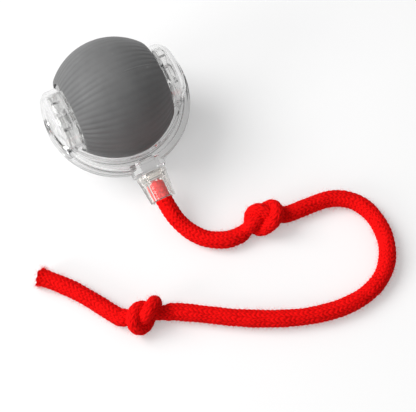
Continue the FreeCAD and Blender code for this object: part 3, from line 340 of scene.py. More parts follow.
def calculate(tree, operation, *values):
    """The result of a sum on numbers and on other nodes' outputs."""
    return add_node(tree, "ShaderNodeMath", dict(enumerate(values)), operation=operation).outputs[0]


def colour_steps(tree, source, steps):
    """A colour ramp fed by a value; steps are its positions and colours."""
    ramp = add_node(tree, "ShaderNodeValToRGB", {"Fac": source})
    while len(ramp.color_ramp.elements) < len(steps):
        ramp.color_ramp.elements.new(0.5)
    for element, (position, colour) in zip(ramp.color_ramp.elements, steps):
        element.position = position
        element.color = (*colour, 1)
    return ramp.outputs["Color"]


def own_place(tree):
    """A point's place in the object's own coordinates, in metres."""
    return add_node(tree, "ShaderNodeTexCoord").outputs["Object"]


def place_noise(tree, scale, detail=2.0, roughness=0.5, distortion=0.0, place=None):
    """Noise in the object's own coordinates or others given; scale is in ripples per metre."""
    values = {"Vector": place or own_place(tree), "Scale": scale, "Detail": detail, "Roughness": roughness,
              "Distortion": distortion}
    return add_node(tree, "ShaderNodeTexNoise", values).outputs["Fac"]


def bump_from(tree, shader, height, depth, strength=1.0):
    """A bump of the given depth in metres, fed to the shader's normal."""
    bump = add_node(tree, "ShaderNodeBump", {"Height": height, "Distance": depth, "Strength": strength})
    set_inputs(tree, shader, {"Normal": bump.outputs["Normal"]})


def dress(piece, material):
    """Gives a piece this finish alone."""
    piece.data.materials.clear()
    piece.data.materials.append(material)


cotton, tree, shader = new_finish(
    "red_cotton", RED_LIGHT, 0.9,
    {"Sheen Weight": 0.05, "Sheen Roughness": 0.4, "Sheen Tint": (1.0, 0.12, 0.10, 1),
     "Specular IOR Level": 0.05},
)
stitch = add_node(tree, "ShaderNodeAttribute", attribute_name="stitch").outputs["Fac"]
fibre = place_noise(tree, 5200, 3.0, 0.6)
# Painted shade: low stitch heights, in the gaps between yarns, at the frayed end and at the tube's end
# centres, take the darker red; the two noises add fibre streaks and random mottle.
fibrous = calculate(tree, "MULTIPLY_ADD", fibre, 0.45, stitch)
mottle_and_gap_shade = calculate(tree, "MULTIPLY_ADD", place_noise(tree, 230, 3.0), 0.55, fibrous)
set_inputs(tree, shader, {"Base Color": colour_steps(tree, mottle_and_gap_shade, [(0.50, RED_GAP_SHADE), (1.0, RED_LIGHT)])})
bump_from(tree, shader, fibre, 0.00012, 0.7)
dress(rope, cotton)

# Loose fibres stand up all over the knit and thickest at the cut end.
fibre_vertices = []
fibre_faces = []
for number in range(FIBRE_COUNT):
    index = random.randrange(FIRST_FUZZY_RING, len(rope_places))
    if number % 12 == 0:
        index = len(rope_places) - 1 - int(abs(random.gauss(0, 5)))
    side = random.randrange(ROPE_SIDES)
    root = rope_vertices[index * ROPE_SIDES + side]
    outward = (root - rope_places[index]).normalized()
    along = rope_directions[index]
    around = outward.cross(along)
    lean = (outward * random.uniform(0.25, 1.0) + along * random.uniform(-0.9, 0.9)
            + around * random.uniform(-0.9, 0.9)).normalized()
    curl = (around * random.uniform(-1, 1) + along * random.uniform(-1, 1)) * 0.5
    length = random.uniform(*FIBRE_LENGTHS)
    width = lean.cross(outward + curl).normalized() * FIBRE_WIDTH / 2
    first = len(fibre_vertices)
    for step in range(FIBRE_JOINTS + 1):
        share = step / FIBRE_JOINTS
        middle = root + (lean * share + curl * share * share) * length
        middle.z = max(middle.z, 2.4 * ABOVE_FLOOR)
        taper = 1 - 0.6 * share
        fibre_vertices += [middle - width * taper, middle + width * taper]
    for step in range(FIBRE_JOINTS):
        low = first + 2 * step
        fibre_faces.append((low, low + 1, low + 3, low + 2))
fibres = object_from("rope_fuzz", fibre_vertices, fibre_faces)
add_float_attribute(fibres.data, "stitch", [1.0] * len(fibre_vertices))
dress(fibres, cotton)
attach(fibres, "carrier")

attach(rope, "carrier")
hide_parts("rope_lead", "first_knot", "rope_bight", "second_knot", "rope_end")

# Floor and light.
# A seamless pale sheet under a large soft lamp at the upper left, with white card all round that
# falls off towards the horizon, so that clear edges have something darker to bend.

FLOOR_SIZE = 3.0
FLOOR_WHITE = 0.62
FLOOR_GLOW = 0.33
KEY_PLACE = (-0.56, 0.40, 0.72)
KEY_SIZE = 0.64
KEY_POWER = 9.0
FILL_PLACE = (-0.80, -0.12, 0.30)
FILL_SIZE = 0.34
FILL_POWER = 2.5
ROOM_TOP = (1.0, 1.0, 1.0)
ROOM_SIDE = (0.45, 0.455, 0.46)
ROOM_STRENGTH = 0.56
ROOM_DARKEST = 0.55
LAMP_SIDE = (-0.88, 0.47, 0.0)


def rectangle(width, low, high):
    """The corners of a rectangle, its width centred."""
    return [(-width / 2, low), (width / 2, low), (width / 2, high), (-width / 2, high)]


floor_corners = rectangle(FLOOR_SIZE, -FLOOR_SIZE / 2, FLOOR_SIZE / 2)
floor = object_from("floor", [(x, y, 0) for x, y in floor_corners], [(0, 1, 2, 3)], smooth=False)
paper, tree, shader = new_finish("pale_floor", (FLOOR_WHITE,) * 3, 0.75, {"Specular IOR Level": 0.15})
paths = add_node(tree, "ShaderNodeLightPath").outputs
seen = calculate(tree, "MAXIMUM", paths["Is Camera Ray"], paths["Is Glossy Ray"])
seen = calculate(tree, "MAXIMUM", seen, paths["Is Transmission Ray"])
glow = calculate(tree, "MULTIPLY", seen, FLOOR_GLOW)
set_inputs(tree, shader, {"Emission Color": (1, 1, 1, 1), "Emission Strength": glow})
bump_from(tree, shader, place_noise(tree, 900), 0.00002, 0.3)
dress(floor, paper)


def add_lamp(name, place, size, power):
    """A large square lamp that faces the ball."""
    lamp = bpy.data.lights.new(name, "AREA")
    lamp.shape = "SQUARE"
    lamp.size = size
    lamp.energy = power
    holder = bpy.data.objects.new(name, lamp)
    holder.location = place
    holder.rotation_euler = (Vector((0, -0.02, 0)) - Vector(place)).to_track_quat("-Z", "Y").to_euler()
    scene.collection.objects.link(holder)


add_lamp("key_lamp", KEY_PLACE, KEY_SIZE, KEY_POWER)
add_lamp("fill_lamp", FILL_PLACE, FILL_SIZE, FILL_POWER)


def rescale(tree, value, start=0.0, end=1.0, to_start=0.0, to_end=1.0):
    """A value brought from one span to another, and held inside it."""
    values = {"Value": value, "From Min": start, "From Max": end, "To Min": to_start, "To Max": to_end}
    return add_node(tree, "ShaderNodeMapRange", values).outputs["Result"]


def calculate_vector(tree, operation, *values):
    """The results of a sum on vectors: "Vector" or, for lengths and products, "Value"."""
    return add_node(tree, "ShaderNodeVectorMath", dict(enumerate(values)), operation=operation).outputs


def split(tree, vector):
    """The three parts of a vector, "X", "Y" and "Z"."""
    return add_node(tree, "ShaderNodeSeparateXYZ", {0: vector}).outputs


room = bpy.data.worlds.new("room")
room.use_nodes = True
scene.world = room
tree = room.node_tree
direction = add_node(tree, "ShaderNodeTexCoord").outputs["Generated"]
walls = colour_steps(tree, split(tree, direction)["Z"], [(0.0, ROOM_SIDE), (0.55, ROOM_TOP)])
towards_lamp = calculate_vector(tree, "DOT_PRODUCT", direction, LAMP_SIDE)["Value"]
falling_off = rescale(tree, towards_lamp, -0.9, 0.6, to_start=ROOM_DARKEST)
lit_walls = add_node(tree, "ShaderNodeVectorMath", {0: walls, "Scale": falling_off}, operation="SCALE")
set_inputs(tree, tree.nodes["Background"], {"Color": lit_walls.outputs["Vector"], "Strength": ROOM_STRENGTH})

# Yoke.
# One injection-moulded piece of water-clear plastic: a horseshoe band with a channel in each face, two
# hollow domed ears that finish the ball, and a lug with the pin that the tail cup snaps on.

TAIL_DROP = 20.0
ROLLER_HEIGHT = 0.0179
ROLLER_FORWARD = 0.0072603
BALL_RADIUS = 21.5
BAND_OFFSET = 1.5
CROWN_RADIUS = 18.929
CROWN_DROP = 1.029
BAND_INNER = CROWN_RADIUS + 0.5
BAND_HALF = 4.0
BAND_LIP = 2.0
BAND_RIM = 0.8
CHANNEL_DEPTH = 1.5
BAND_STATIONS = 220
BAND_REACH = 106.0
BACK_ROUND = 0.9
LIP_ROUND = 0.35
CHANNEL_ROUND = 0.3
RIM_ROUND = 0.25
EAR_RADIUS = 9.7
EAR_FACE = 14.6
EAR_SHOULDER = 17.6
EAR_WALL = 1.3
EAR_EDGE = 0.35
DOME_STEPS = 16
POLE_BORE = 2.3
LUG_WIDTH = 9.9
LUG_HEIGHT = 9.8
LUG_START = 20.3
LUG_BOX_END = 24.2
SEAM_REACH = 24.6
LUG_CHAMFER = 2.1
LUG_ROUND = 0.35
LUG_SLOT = (4.4, 1.1, 2.4)
SNAP_PIN_RADIUS = 3.3
SNAP_PIN_END = 27.0
SHARP_ANGLE = 30.0
CLEAR_TINT = (0.985, 0.985, 0.982)

# The ball's pieces are drawn in millimetres about the roller's middle, then set down in metres.
ball_seat = (Matrix.Translation((0, ROLLER_FORWARD, ROLLER_HEIGHT))
             @ Matrix.Rotation(math.radians(TAIL_DROP), 4, "X") @ Matrix.Scale(0.001, 4))


def bend(start, corner, end, steps):
    """Points on a curve that leaves one point towards a corner and comes to the other point from it."""
    points = []
    for step in range(steps + 1):
        share = step / steps
        points.append(start * (1 - share) ** 2 + corner * (2 * share * (1 - share)) + end * share ** 2)
    return points


def rounded(corners, radii, steps=4):
    """A closed outline with each corner rounded by its own radius, as points; corners are (x, y) pairs."""
    points = []
    for index, (corner, radius) in enumerate(zip(corners, radii)):
        here = Vector(corner)
        before = Vector(corners[index - 1]) - here
        after = Vector(corners[(index + 1) % len(corners)]) - here
        turn = before.angle(after, math.pi)
        reach = min(radius / math.tan(turn / 2), before.length * 0.45, after.length * 0.45)
        points += bend(here + before.normalized() * reach, here, here + after.normalized() * reach, steps)
    return points


def arc_reach(turn, radius, offset):
    """Distance from the roller's middle to an arc centred on the tail's axis, at a turn from the tail."""
    towards = math.cos(turn) * offset
    return towards + math.sqrt(towards * towards - offset * offset + radius * radius)


def tidy_mesh(piece):
    """Joins doubled points and turns every face outwards."""
    mesh = bmesh.new()
    mesh.from_mesh(piece.data)
    bmesh.ops.remove_doubles(mesh, verts=mesh.verts, dist=1e-4)
    bmesh.ops.dissolve_degenerate(mesh, edges=mesh.edges, dist=1e-5)
    bmesh.ops.recalc_face_normals(mesh, faces=mesh.faces)
    mesh.to_mesh(piece.data)
    mesh.free()


def ring_solid(name, profiles, closed=False):
    """A solid skinned over a row of closed outlines that all have the same number of points."""
    rows = len(profiles)
    sides = len(profiles[0])
    faces = skin_faces(rows, sides, closed)
    if not closed:
        faces.append(tuple(reversed(range(sides))))
        faces.append(tuple((rows - 1) * sides + side for side in range(sides)))
    piece = object_from(name, [point for profile in profiles for point in profile], faces)
    tidy_mesh(piece)
    return piece


def around_axle(outline, turn):
    """An outline of stations and radii, set at a turn about the X axle."""
    return [(x, radius * math.cos(turn), radius * math.sin(turn)) for x, radius in outline]


def turned_solid(name, outline, steps=144):
    """A solid turned round the X axle from an outline of stations and radii."""
    profiles = [around_axle(outline, 2 * math.pi * step / steps) for step in range(steps)]
    return ring_solid(name, profiles, closed=True)


def combine(piece, other, operation):
    """Joins another solid to a piece or cuts it away, and removes the other one."""
    boolean = piece.modifiers.new("combine", "BOOLEAN")
    boolean.operation = operation
    boolean.solver = "EXACT"
    boolean.object = other
    done = finished_mesh(piece)
    piece.modifiers.clear()
    piece.data = done
    bpy.data.objects.remove(other)


def soften_edges(piece):
    """Smooth shading that keeps the sharp edges, with even normals on flat faces."""
    piece.data.shade_smooth()
    piece.data.set_sharp_from_angle(angle=math.radians(SHARP_ANGLE))
    weighted = piece.modifiers.new("even_normals", "WEIGHTED_NORMAL")
    weighted.keep_sharp = True


def band_profile(turn):
    """The band's section at a turn from the tail: rounded outside, with a channel in each face."""
    outer = arc_reach(turn, BALL_RADIUS, BAND_OFFSET)
    inner = arc_reach(turn, BAND_INNER, -CROWN_DROP)
    room_for_channel = outer - inner - BAND_LIP - BAND_RIM
    depth = CHANNEL_DEPTH * eased(max(0.0, min(1.0, room_for_channel / 0.8))) + 0.03
    lip = outer - BAND_LIP + min(0, room_for_channel) * 0.5
    rim = inner + BAND_RIM - min(0, room_for_channel) * 0.5
    if lip - rim < 0.3:
        middle = (lip + rim) / 2
        lip = middle + 0.15
        rim = middle - 0.15
    floor_height = BAND_HALF - depth
    upper = [
        (outer, BAND_HALF, BACK_ROUND), (lip, BAND_HALF, LIP_ROUND), (lip, floor_height, CHANNEL_ROUND),
        (rim, floor_height, CHANNEL_ROUND), (rim, BAND_HALF, RIM_ROUND), (inner, BAND_HALF, RIM_ROUND),
    ]
    corners = [(reach, height) for reach, height, radius in upper]
    radii = [radius for reach, height, radius in upper]
    corners += [(reach, -height) for reach, height in reversed(corners)]
    outline = rounded(corners, radii + radii[::-1], 5)
    return [(reach * math.sin(turn), -reach * math.cos(turn), height) for reach, height in outline]


def ear_outline(side, hollow):
    """Half section of an ear: a straight skirt, a round shoulder and the ball's own dome."""
    inset = EAR_WALL if hollow else 0.0
    radius = EAR_RADIUS - inset
    ball = BALL_RADIUS - inset
    if hollow:
        outline = [(EAR_FACE - 0.4, 0.0), (EAR_FACE - 0.4, radius)]
    else:
        outline = [(EAR_FACE, 0.0), (EAR_FACE, radius - EAR_EDGE),
                   (EAR_FACE + 0.1, radius - 0.1), (EAR_FACE + EAR_EDGE, radius)]
    meet = math.asin((radius - 0.6) / ball) - 0.055
    end = Vector((ball * math.cos(meet), ball * math.sin(meet)))
    corner = Vector((max(end.x - (radius - end.y) * 0.9, EAR_SHOULDER + 0.8), radius))
    outline += [tuple(point) for point in bend(Vector((EAR_SHOULDER, radius)), corner, end, 12)]
    for step in range(1, DOME_STEPS + 1):
        angle = meet * (1 - step / DOME_STEPS)
        if ball * math.sin(angle) < POLE_BORE * 0.5:
            break
        outline.append((ball * math.cos(angle), ball * math.sin(angle)))
    outline.append((outline[-1][0], 0.0))
    return [(side * x, r) for x, r in outline]


def lug_section(reach, is_round, shrink):
    """The lug's outline at a reach: a square with cut corners, or round where it meets the cup."""
    width = LUG_WIDTH / 2 - shrink
    height = LUG_HEIGHT / 2 - shrink
    cut = LUG_CHAMFER
    corners = []
    for across, upward in ((-1, -1), (1, -1), (1, 1), (-1, 1)):
        first = (across * (width - cut), upward * height)
        second = (across * width, upward * (height - cut))
        corners += [second, first] if across * upward > 0 else [first, second]
    outline = rounded(corners, [LUG_ROUND] * len(corners), 11)
    if is_round:
        outline = [point.normalized() * width for point in outline]
    return [(point.x, -reach, point.y) for point in outline]


def make_lug():
    """The square lug, its round end under the cup's collar and the slot across its back."""
    sections = [(LUG_START, False, 0.3), (LUG_START + 0.3, False, 0), (LUG_BOX_END - 0.4, False, 0),
                (LUG_BOX_END, False, 0.3), (LUG_BOX_END, True, 0.1), (SEAM_REACH - 0.3, True, 0.1),
                (SEAM_REACH, True, 0.35)]
    lug = ring_solid("lug", [lug_section(*section) for section in sections])
    width, length, depth = LUG_SLOT
    back = LUG_START + 0.5
    outline = rounded(rectangle(width, back, back + length), [0.3] * 4)
    top = LUG_HEIGHT / 2
    slot = ring_solid("lug_slot", [
        [(point.x, -point.y, height) for point in outline] for height in (top - depth, top + 1)
    ])
    combine(lug, slot, "DIFFERENCE")
    return lug


yoke = ring_solid("yoke", [
    band_profile(math.radians(BAND_REACH * (2 * station / BAND_STATIONS - 1)))
    for station in range(BAND_STATIONS + 1)
])
combine(yoke, make_lug(), "UNION")
for side in (1, -1):
    combine(yoke, turned_solid("ear", ear_outline(side, hollow=False)), "UNION")
for side in (1, -1):
    combine(yoke, turned_solid("ear_hollow", ear_outline(side, hollow=True)), "DIFFERENCE")
bore = turned_solid("pole_bore", [(-30, 0), (-30, POLE_BORE), (30, POLE_BORE), (30, 0)], 64)
combine(yoke, bore, "DIFFERENCE")
pin = turned_solid("snap_pin", [
    (SEAM_REACH - 2, 0), (SEAM_REACH - 2, SNAP_PIN_RADIUS), (SNAP_PIN_END - 0.3, SNAP_PIN_RADIUS),
    (SNAP_PIN_END, SNAP_PIN_RADIUS - 0.3), (SNAP_PIN_END, 0),
], 64)
pin.data.transform(Matrix.Rotation(math.radians(-90), 4, "Z"))
combine(yoke, pin, "UNION")
yoke.data.transform(ball_seat)
soften_edges(yoke)

# The same clear plastic serves the hubs, caps and button: fine flow lines and faint scuffs.
FLOW_SCALE = 240
SCUFF_SCALE = 1500
CLEAR_GREY = (0.56, 0.56, 0.56)
CLEAR_DEPTH = 34.0
SHADOW_LET_THROUGH = (0.91, 0.91, 0.91)
MOST_BENDS = 8


def shader_group(name, *outputs):
    """An empty group of effects, with a number for each named output."""
    group = bpy.data.node_groups.new(name, "ShaderNodeTree")
    for socket in outputs:
        group.interface.new_socket(socket, in_out="OUTPUT", socket_type="NodeSocketFloat")
    return group, group.nodes.new("NodeGroupOutput")


moulding, results = shader_group("moulded_clear", "Scuffs", "Height")
set_inputs(moulding, results, {
    "Scuffs": rescale(moulding, place_noise(moulding, SCUFF_SCALE, 4.0, 0.7), 0.55, 0.90),
    "Height": place_noise(moulding, FLOW_SCALE, 1.0, 0.4),
})


def shaded(colour, shares):
    """Steps of a colour ramp on which one colour is made darker or lighter."""
    return [(position, tuple(share * part for part in colour)) for position, share in shares]


def clear_finish(name, tint, ripple_depth, most_scuff, rim=0.36, plain=None):
    """Clear plastic, greyer where it is thick, with painted shade at its edges, that lets lamp light through
    to what is behind it.
    """
    values = {"Transmission Weight": 1.0, "IOR": 1.49, **(plain or {})}
    material, tree, shader = new_finish(name, tint, 0.03, values)
    surface = add_node(tree, "ShaderNodeGroup", node_tree=moulding).outputs
    turned_away = add_node(tree, "ShaderNodeLayerWeight", {"Blend": 0.5}).outputs["Facing"]
    # Painted edge shade: the base colour greys down to the rim share where the surface turns away from the
    # view.
    painted_edge_shade = shaded(tint, ((0.35, 1), (0.75, 1 - 0.31 * (1 - rim)), (1, rim)))
    set_inputs(tree, shader, {
        "Base Color": colour_steps(tree, turned_away, painted_edge_shade),
        "Roughness": calculate(tree, "MULTIPLY", surface["Scuffs"], most_scuff),
    })
    bump_from(tree, shader, surface["Height"], ripple_depth)
    paths = add_node(tree, "ShaderNodeLightPath").outputs
    bends = calculate(tree, "MULTIPLY_ADD", paths["Glossy Depth"], 2.5, paths["Transmission Depth"])
    much_bent = calculate(tree, "GREATER_THAN", bends, MOST_BENDS)
    straight_on = calculate(tree, "MAXIMUM", paths["Is Shadow Ray"], much_bent)
    see_through = add_node(tree, "ShaderNodeBsdfTransparent", {"Color": (*SHADOW_LET_THROUGH, 1)})
    mix = add_node(tree, "ShaderNodeMixShader", {
        "Fac": straight_on, 1: shader.outputs["BSDF"], 2: see_through.outputs["BSDF"],
    })
    body = add_node(tree, "ShaderNodeVolumeAbsorption", {"Color": (*CLEAR_GREY, 1), "Density": CLEAR_DEPTH})
    output = tree.nodes["Material Output"]
    set_inputs(tree, output, {"Surface": mix.outputs["Shader"], "Volume": body.outputs["Volume"]})
    return material


clear_plastic = clear_finish("clear_plastic", CLEAR_TINT, 0.000002, most_scuff=0.03)
dress(yoke, clear_plastic)
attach(yoke, "carrier")
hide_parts("yoke_frame")

# Ear hubs and power button.
# Clear ribbed plugs pressed into the ears: a square key holds each end cap, and the tube carries the
# pole. The left tube guides the push button.

inner_clear = clear_finish(
    "inner_clear", CLEAR_TINT, 0.000001, most_scuff=0.03, rim=0.60, plain={"IOR": 1.25},
)
for node in ("right_ear_hub", "left_ear_hub", "power_button"):
    dress(solids[node], inner_clear)

# End caps.
# Clear shallow cups that close the drum. They stay still with the yoke while the drum turns on them.

for node in ("right_end_cap", "left_end_cap"):
    dress(solids[node], inner_clear)

# Tail cup.
# Clear tapered cup with eight flat panels, snapped on the lug's pin; it grips the rope's end.

cup_plastic = clear_finish(
    "cup_plastic", (0.99, 0.965, 0.925), 0.000010, most_scuff=0.12, rim=0.85,
    plain={"IOR": 1.4, "Transmission Weight": 0.96, "Coat Weight": 0.5, "Coat IOR": 1.6,
           "Coat Roughness": 0.03},
)
dress(solids["tail_ferrule"], cup_plastic)

# Sleeve.
# Matte grey silicone barrel moulded with 52 soft ribs that run from end to end and fade over the
# middle. It is stretched over the drum, and its lips fold over the drum's necks.

SLEEVE_HALF = 14.1
SLEEVE_LIP = 10.7
LIP_WALL = 0.6
LIP_EDGE = 0.4
NECK_RADIUS = 11.3
NECK_REACH = 12.1
DRUM_RADIUS = 16.0
DRUM_SHOULDER = 6.0
RIB_COUNT = 52
RIB_DEPTH = 0.16
RIB_FADE = 0.02
RIGHT_SHARE = 0.5
MOULD_TURN = 82.0
MOULD_HEIGHT = 0.10
MOULD_START = 2.5
MOULD_END = 12.5
RIB_STEPS = 14
CROWN_STEPS = 72
SILICONE = (0.134, 0.135, 0.1355)


def crown_radius(x):
    """The barrel's radius at a station along the axle."""
    return math.sqrt(CROWN_RADIUS ** 2 - x ** 2) - CROWN_DROP


sleeve_outline = []
for step in range(CROWN_STEPS + 1):
    x = SLEEVE_HALF * math.sin(math.pi * (step / CROWN_STEPS - 0.5))
    edge = max(0.0, (abs(x) - (SLEEVE_HALF - LIP_EDGE)) / LIP_EDGE)
    sleeve_outline.append((x, crown_radius(x) - 0.35 * (1 - math.sqrt(max(0, 1 - edge * edge)))))
sleeve_inside = [
    (SLEEVE_HALF, SLEEVE_LIP), (SLEEVE_HALF - LIP_WALL, SLEEVE_LIP), (SLEEVE_HALF - LIP_WALL, NECK_RADIUS),
    (NECK_REACH, NECK_RADIUS), (DRUM_SHOULDER, DRUM_RADIUS),
]
sleeve_outline += sleeve_inside + [(-x, radius) for x, radius in reversed(sleeve_inside)]


def rib_groove(turn, x):
    """Depth of the grooves between ribs; each rib wanders a little and fades over the middle."""
    wander = 0.22 * math.sin(3 * turn + 1) * math.sin(x * 0.16 + 2 * turn)
    wander += 0.10 * math.sin(9 * turn + x * 0.09)
    phase = RIB_COUNT * turn / (2 * math.pi) + wander
    groove = (0.5 + 0.5 * math.cos(2 * math.pi * phase)) ** 1.5
    share = abs(x) / SLEEVE_HALF
    own = 1 + 0.35 * math.sin(5 * turn + 2) + 0.25 * math.sin(11 * turn + 0.3 * x)
    side = 1 if x < 0 else RIGHT_SHARE
    return groove * (RIB_FADE + (RIB_DEPTH - RIB_FADE) * share ** 1.5 * own * side)


def mould_line(number, x):
    """Height of the fine line that the mould's joint leaves along part of the right half; the silicone's
    finish paints it as a lighter line, a painted highlight.
    """
    beside = number - round(turns * MOULD_TURN / 360)
    return MOULD_HEIGHT * max(0, 1 - abs(beside) / 1.5) if MOULD_START < x < MOULD_END else 0.0


sleeve_rows = []
sleeve_grooves = []
turns = RIB_COUNT * RIB_STEPS
for number in range(turns):
    turn = 2 * math.pi * number / turns
    row = []
    for index, (x, radius) in enumerate(sleeve_outline):
        groove = rib_groove(turn, x) - mould_line(number, x) if index <= CROWN_STEPS else 0.0
        row.append((x, radius - groove))
        # The groove attribute carries the ribs' depth and, as a negative, the mould line; the silicone finish
        # turns these into painted groove shade and a painted highlight.
        sleeve_grooves.append(groove / RIB_DEPTH)
    sleeve_rows.append(around_axle(row, turn))
sleeve = ring_solid("sleeve", sleeve_rows, closed=True)
add_float_attribute(sleeve.data, "groove", sleeve_grooves)
sleeve.data.transform(ball_seat)
sleeve.data.set_sharp_from_angle(angle=math.radians(50))

silicone, tree, shader = new_finish(
    "grey_silicone", SILICONE, 0.62,
    {"Sheen Weight": 0.12, "Sheen Roughness": 0.5, "Specular IOR Level": 0.42},
)
groove = add_node(tree, "ShaderNodeAttribute", attribute_name="groove").outputs["Fac"]
# Painted shade and highlight: the grooves between the ribs darken the grey, and the mould line, carried as a
# negative groove depth, is painted much lighter; the noise adds dust.
groove_shade_line_highlight_and_dust = calculate(tree, "MULTIPLY_ADD", groove, -0.6, place_noise(tree, 260, 4.0, 0.6))
shaded_and_lit_greys = shaded(SILICONE, ((0.0, 0.85), (0.65, 1.08), (0.9, 1.9)))
set_inputs(tree, shader, {"Base Color": colour_steps(tree, groove_shade_line_highlight_and_dust, shaded_and_lit_greys)})
bump_from(tree, shader, place_noise(tree, 6500), 0.00003, 0.5)
dress(sleeve, silicone)
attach(sleeve, "drum")
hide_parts("silicone_sleeve")

# Drum shells.
# Two dark moulded cups that meet in the middle and carry the sleeve; the left one is set in the right.


def group_inputs(group, kinds):
    """Gives a group named inputs, each a Float or a Vector, and says how they are read inside it."""
    for socket, kind in kinds.items():
        group.interface.new_socket(socket, in_out="INPUT", socket_type="NodeSocket" + kind)
    return group.nodes.new("NodeGroupInput").outputs


grain, results = shader_group("moulded_grain", "Wear", "Height")
given = group_inputs(grain, {"Grain Scale": "Float", "Wear Scale": "Float"})
set_inputs(grain, results, {
    "Wear": place_noise(grain, given["Wear Scale"], 4.0, 0.55, 0.6),
    "Height": place_noise(grain, given["Grain Scale"], 3.0, 0.65),
})


def grained_finish(name, dark, light, roughness, grain_scale, grain_depth, wear_scale=180.0):
    """A finish with fine grain, and patches a little darker and glossier than the rest."""
    material, tree, shader = new_finish(name, light, roughness)
    scales = {"Grain Scale": grain_scale, "Wear Scale": wear_scale}
    surface = add_node(tree, "ShaderNodeGroup", scales, node_tree=grain).outputs
    set_inputs(tree, shader, {
        "Base Color": colour_steps(tree, surface["Wear"], [(0.35, dark), (0.65, light)]),
        "Roughness": rescale(tree, surface["Wear"], to_start=roughness - 0.12, to_end=roughness + 0.10),
    })
    bump_from(tree, shader, surface["Height"], grain_depth)
    return material


drum_plastic = grained_finish("dark_drum_plastic", (0.009, 0.009, 0.010), (0.017, 0.017, 0.018), 0.5,
                              2600, 0.00003)
dress(solids["right_drum_shell"], drum_plastic)
dress(solids["left_drum_shell"], drum_plastic)

# Ring gear and idler gear.
# Moulded in natural nylon. The ring is pressed into the right shell, and the idler runs between the
# ring and the motor's pinion; both are greased, which leaves them shiny in patches.

nylon = grained_finish("natural_nylon", (0.58, 0.54, 0.44), (0.74, 0.71, 0.63), 0.36, 3200, 0.00002, 420)
dress(solids["ring_gear"], nylon)
dress(solids["idler_gear"], nylon)

# Idler pin.
# Ground steel dowel pressed into the inner frame.

IDLER_AXLE = (0.004182, 0.026357)
STEEL_DARK = (0.36, 0.36, 0.37)
STEEL_LIGHT = (0.66, 0.66, 0.67)


def axle_distance(tree, axle, scale):
    """A point's distance from an axle along X through a given place, times a scale."""
    from_axle = calculate_vector(tree, "SUBTRACT", own_place(tree), axle)["Vector"]
    across = calculate_vector(tree, "MULTIPLY", from_axle, (0, scale, scale))["Vector"]
    return calculate_vector(tree, "LENGTH", across)["Value"]


turning, results = shader_group("turning_lines", "Height")
given = group_inputs(turning, {"Axle": "Vector", "Lines": "Float"})
rings = add_node(turning, "ShaderNodeCombineXYZ", {
    "X": split(turning, own_place(turning))["X"], "Y": axle_distance(turning, given["Axle"], 1),
})
cut_lines = {"Vector": rings.outputs["Vector"], "Scale": given["Lines"], "Detail": 3.0, "Roughness": 0.7}
cut = add_node(turning, "ShaderNodeTexNoise", cut_lines, noise_dimensions="2D")
set_inputs(turning, results, {"Height": cut.outputs["Fac"]})


def turned_finish(name, dark, light, roughness, axle, lines, depth):
    """Metal with the fine lines of turning or grinding all round an axle, given by its Y and Z."""
    material, tree, shader = new_finish(name, light, roughness, {"Metallic": 1.0})
    marks = {"Axle": (0, *axle), "Lines": lines}
    height = add_node(tree, "ShaderNodeGroup", marks, node_tree=turning).outputs["Height"]
    set_inputs(tree, shader, {"Base Color": colour_steps(tree, height, [(0.3, dark), (0.7, light)])})
    bump_from(tree, shader, height, depth)
    return material


ground_steel = turned_finish("ground_steel", STEEL_DARK, STEEL_LIGHT, 0.22, IDLER_AXLE, 9000, 0.000008)
dress(solids["idler_pin"], ground_steel)

# Motor pinion.
# Turned brass, pressed on the motor's steel shaft.

MOTOR_AXLE = (0.006491, 0.020014)
BRASS_DARK = (0.52, 0.36, 0.12)
BRASS_LIGHT = (0.80, 0.60, 0.28)

brass = turned_finish("turned_brass", BRASS_DARK, BRASS_LIGHT, 0.28, MOTOR_AXLE, 7000, 0.000012)
dress(solids["motor_pinion"], brass)

# Motor.
# Small direct-current motor in a drawn steel can with two flats; it is held in the inner frame.


def drawn_finish(name, dark, light, roughness, lines, depth):
    """Sheet metal with fine lines from drawing, which run along the roller's axle."""
    material, tree, shader = new_finish(name, light, roughness, {"Metallic": 1.0})
    along = {"Vector": own_place(tree), "Scale": (0.04, 1.0, 1.0)}
    stretched = add_node(tree, "ShaderNodeMapping", along).outputs["Vector"]
    height = place_noise(tree, lines, 4.0, 0.7, place=stretched)
    set_inputs(tree, shader, {
        "Base Color": colour_steps(tree, height, [(0.3, dark), (0.7, light)]),
        "Roughness": rescale(tree, place_noise(tree, 300, 3.0), to_start=roughness - 0.10,
                             to_end=roughness + 0.15),
    })
    bump_from(tree, shader, height, depth)
    return material


drawn_can = drawn_finish("drawn_steel_can", (0.34, 0.34, 0.33), (0.60, 0.60, 0.59), 0.34, 2400, 0.000010)
dress(solids["motor"], drawn_can)

# Inner frame.
# White moulded carrier with plates for the motor, the idler and the board; the end caps' screws hold it.

frame_plastic = grained_finish("white_frame_plastic", (0.70, 0.70, 0.68), (0.82, 0.82, 0.81), 0.46,
                               1900, 0.00003)
dress(solids["inner_frame"], frame_plastic)

# Battery.
# Small lithium cell in a silver foil pouch, creased all over, with amber tape over its sealed left end.

TAPE_EDGE = (-0.0068, -0.0066)
FOIL_DARK = (0.46, 0.47, 0.49)
FOIL_LIGHT = (0.70, 0.71, 0.73)
TAPE_AMBER = (0.50, 0.24, 0.02)


def blend(tree, share, first, second):
    """A colour between two others."""
    values = {"Factor": share, "A": first, "B": second}
    return add_node(tree, "ShaderNodeMix", values, data_type="RGBA").outputs["Result"]


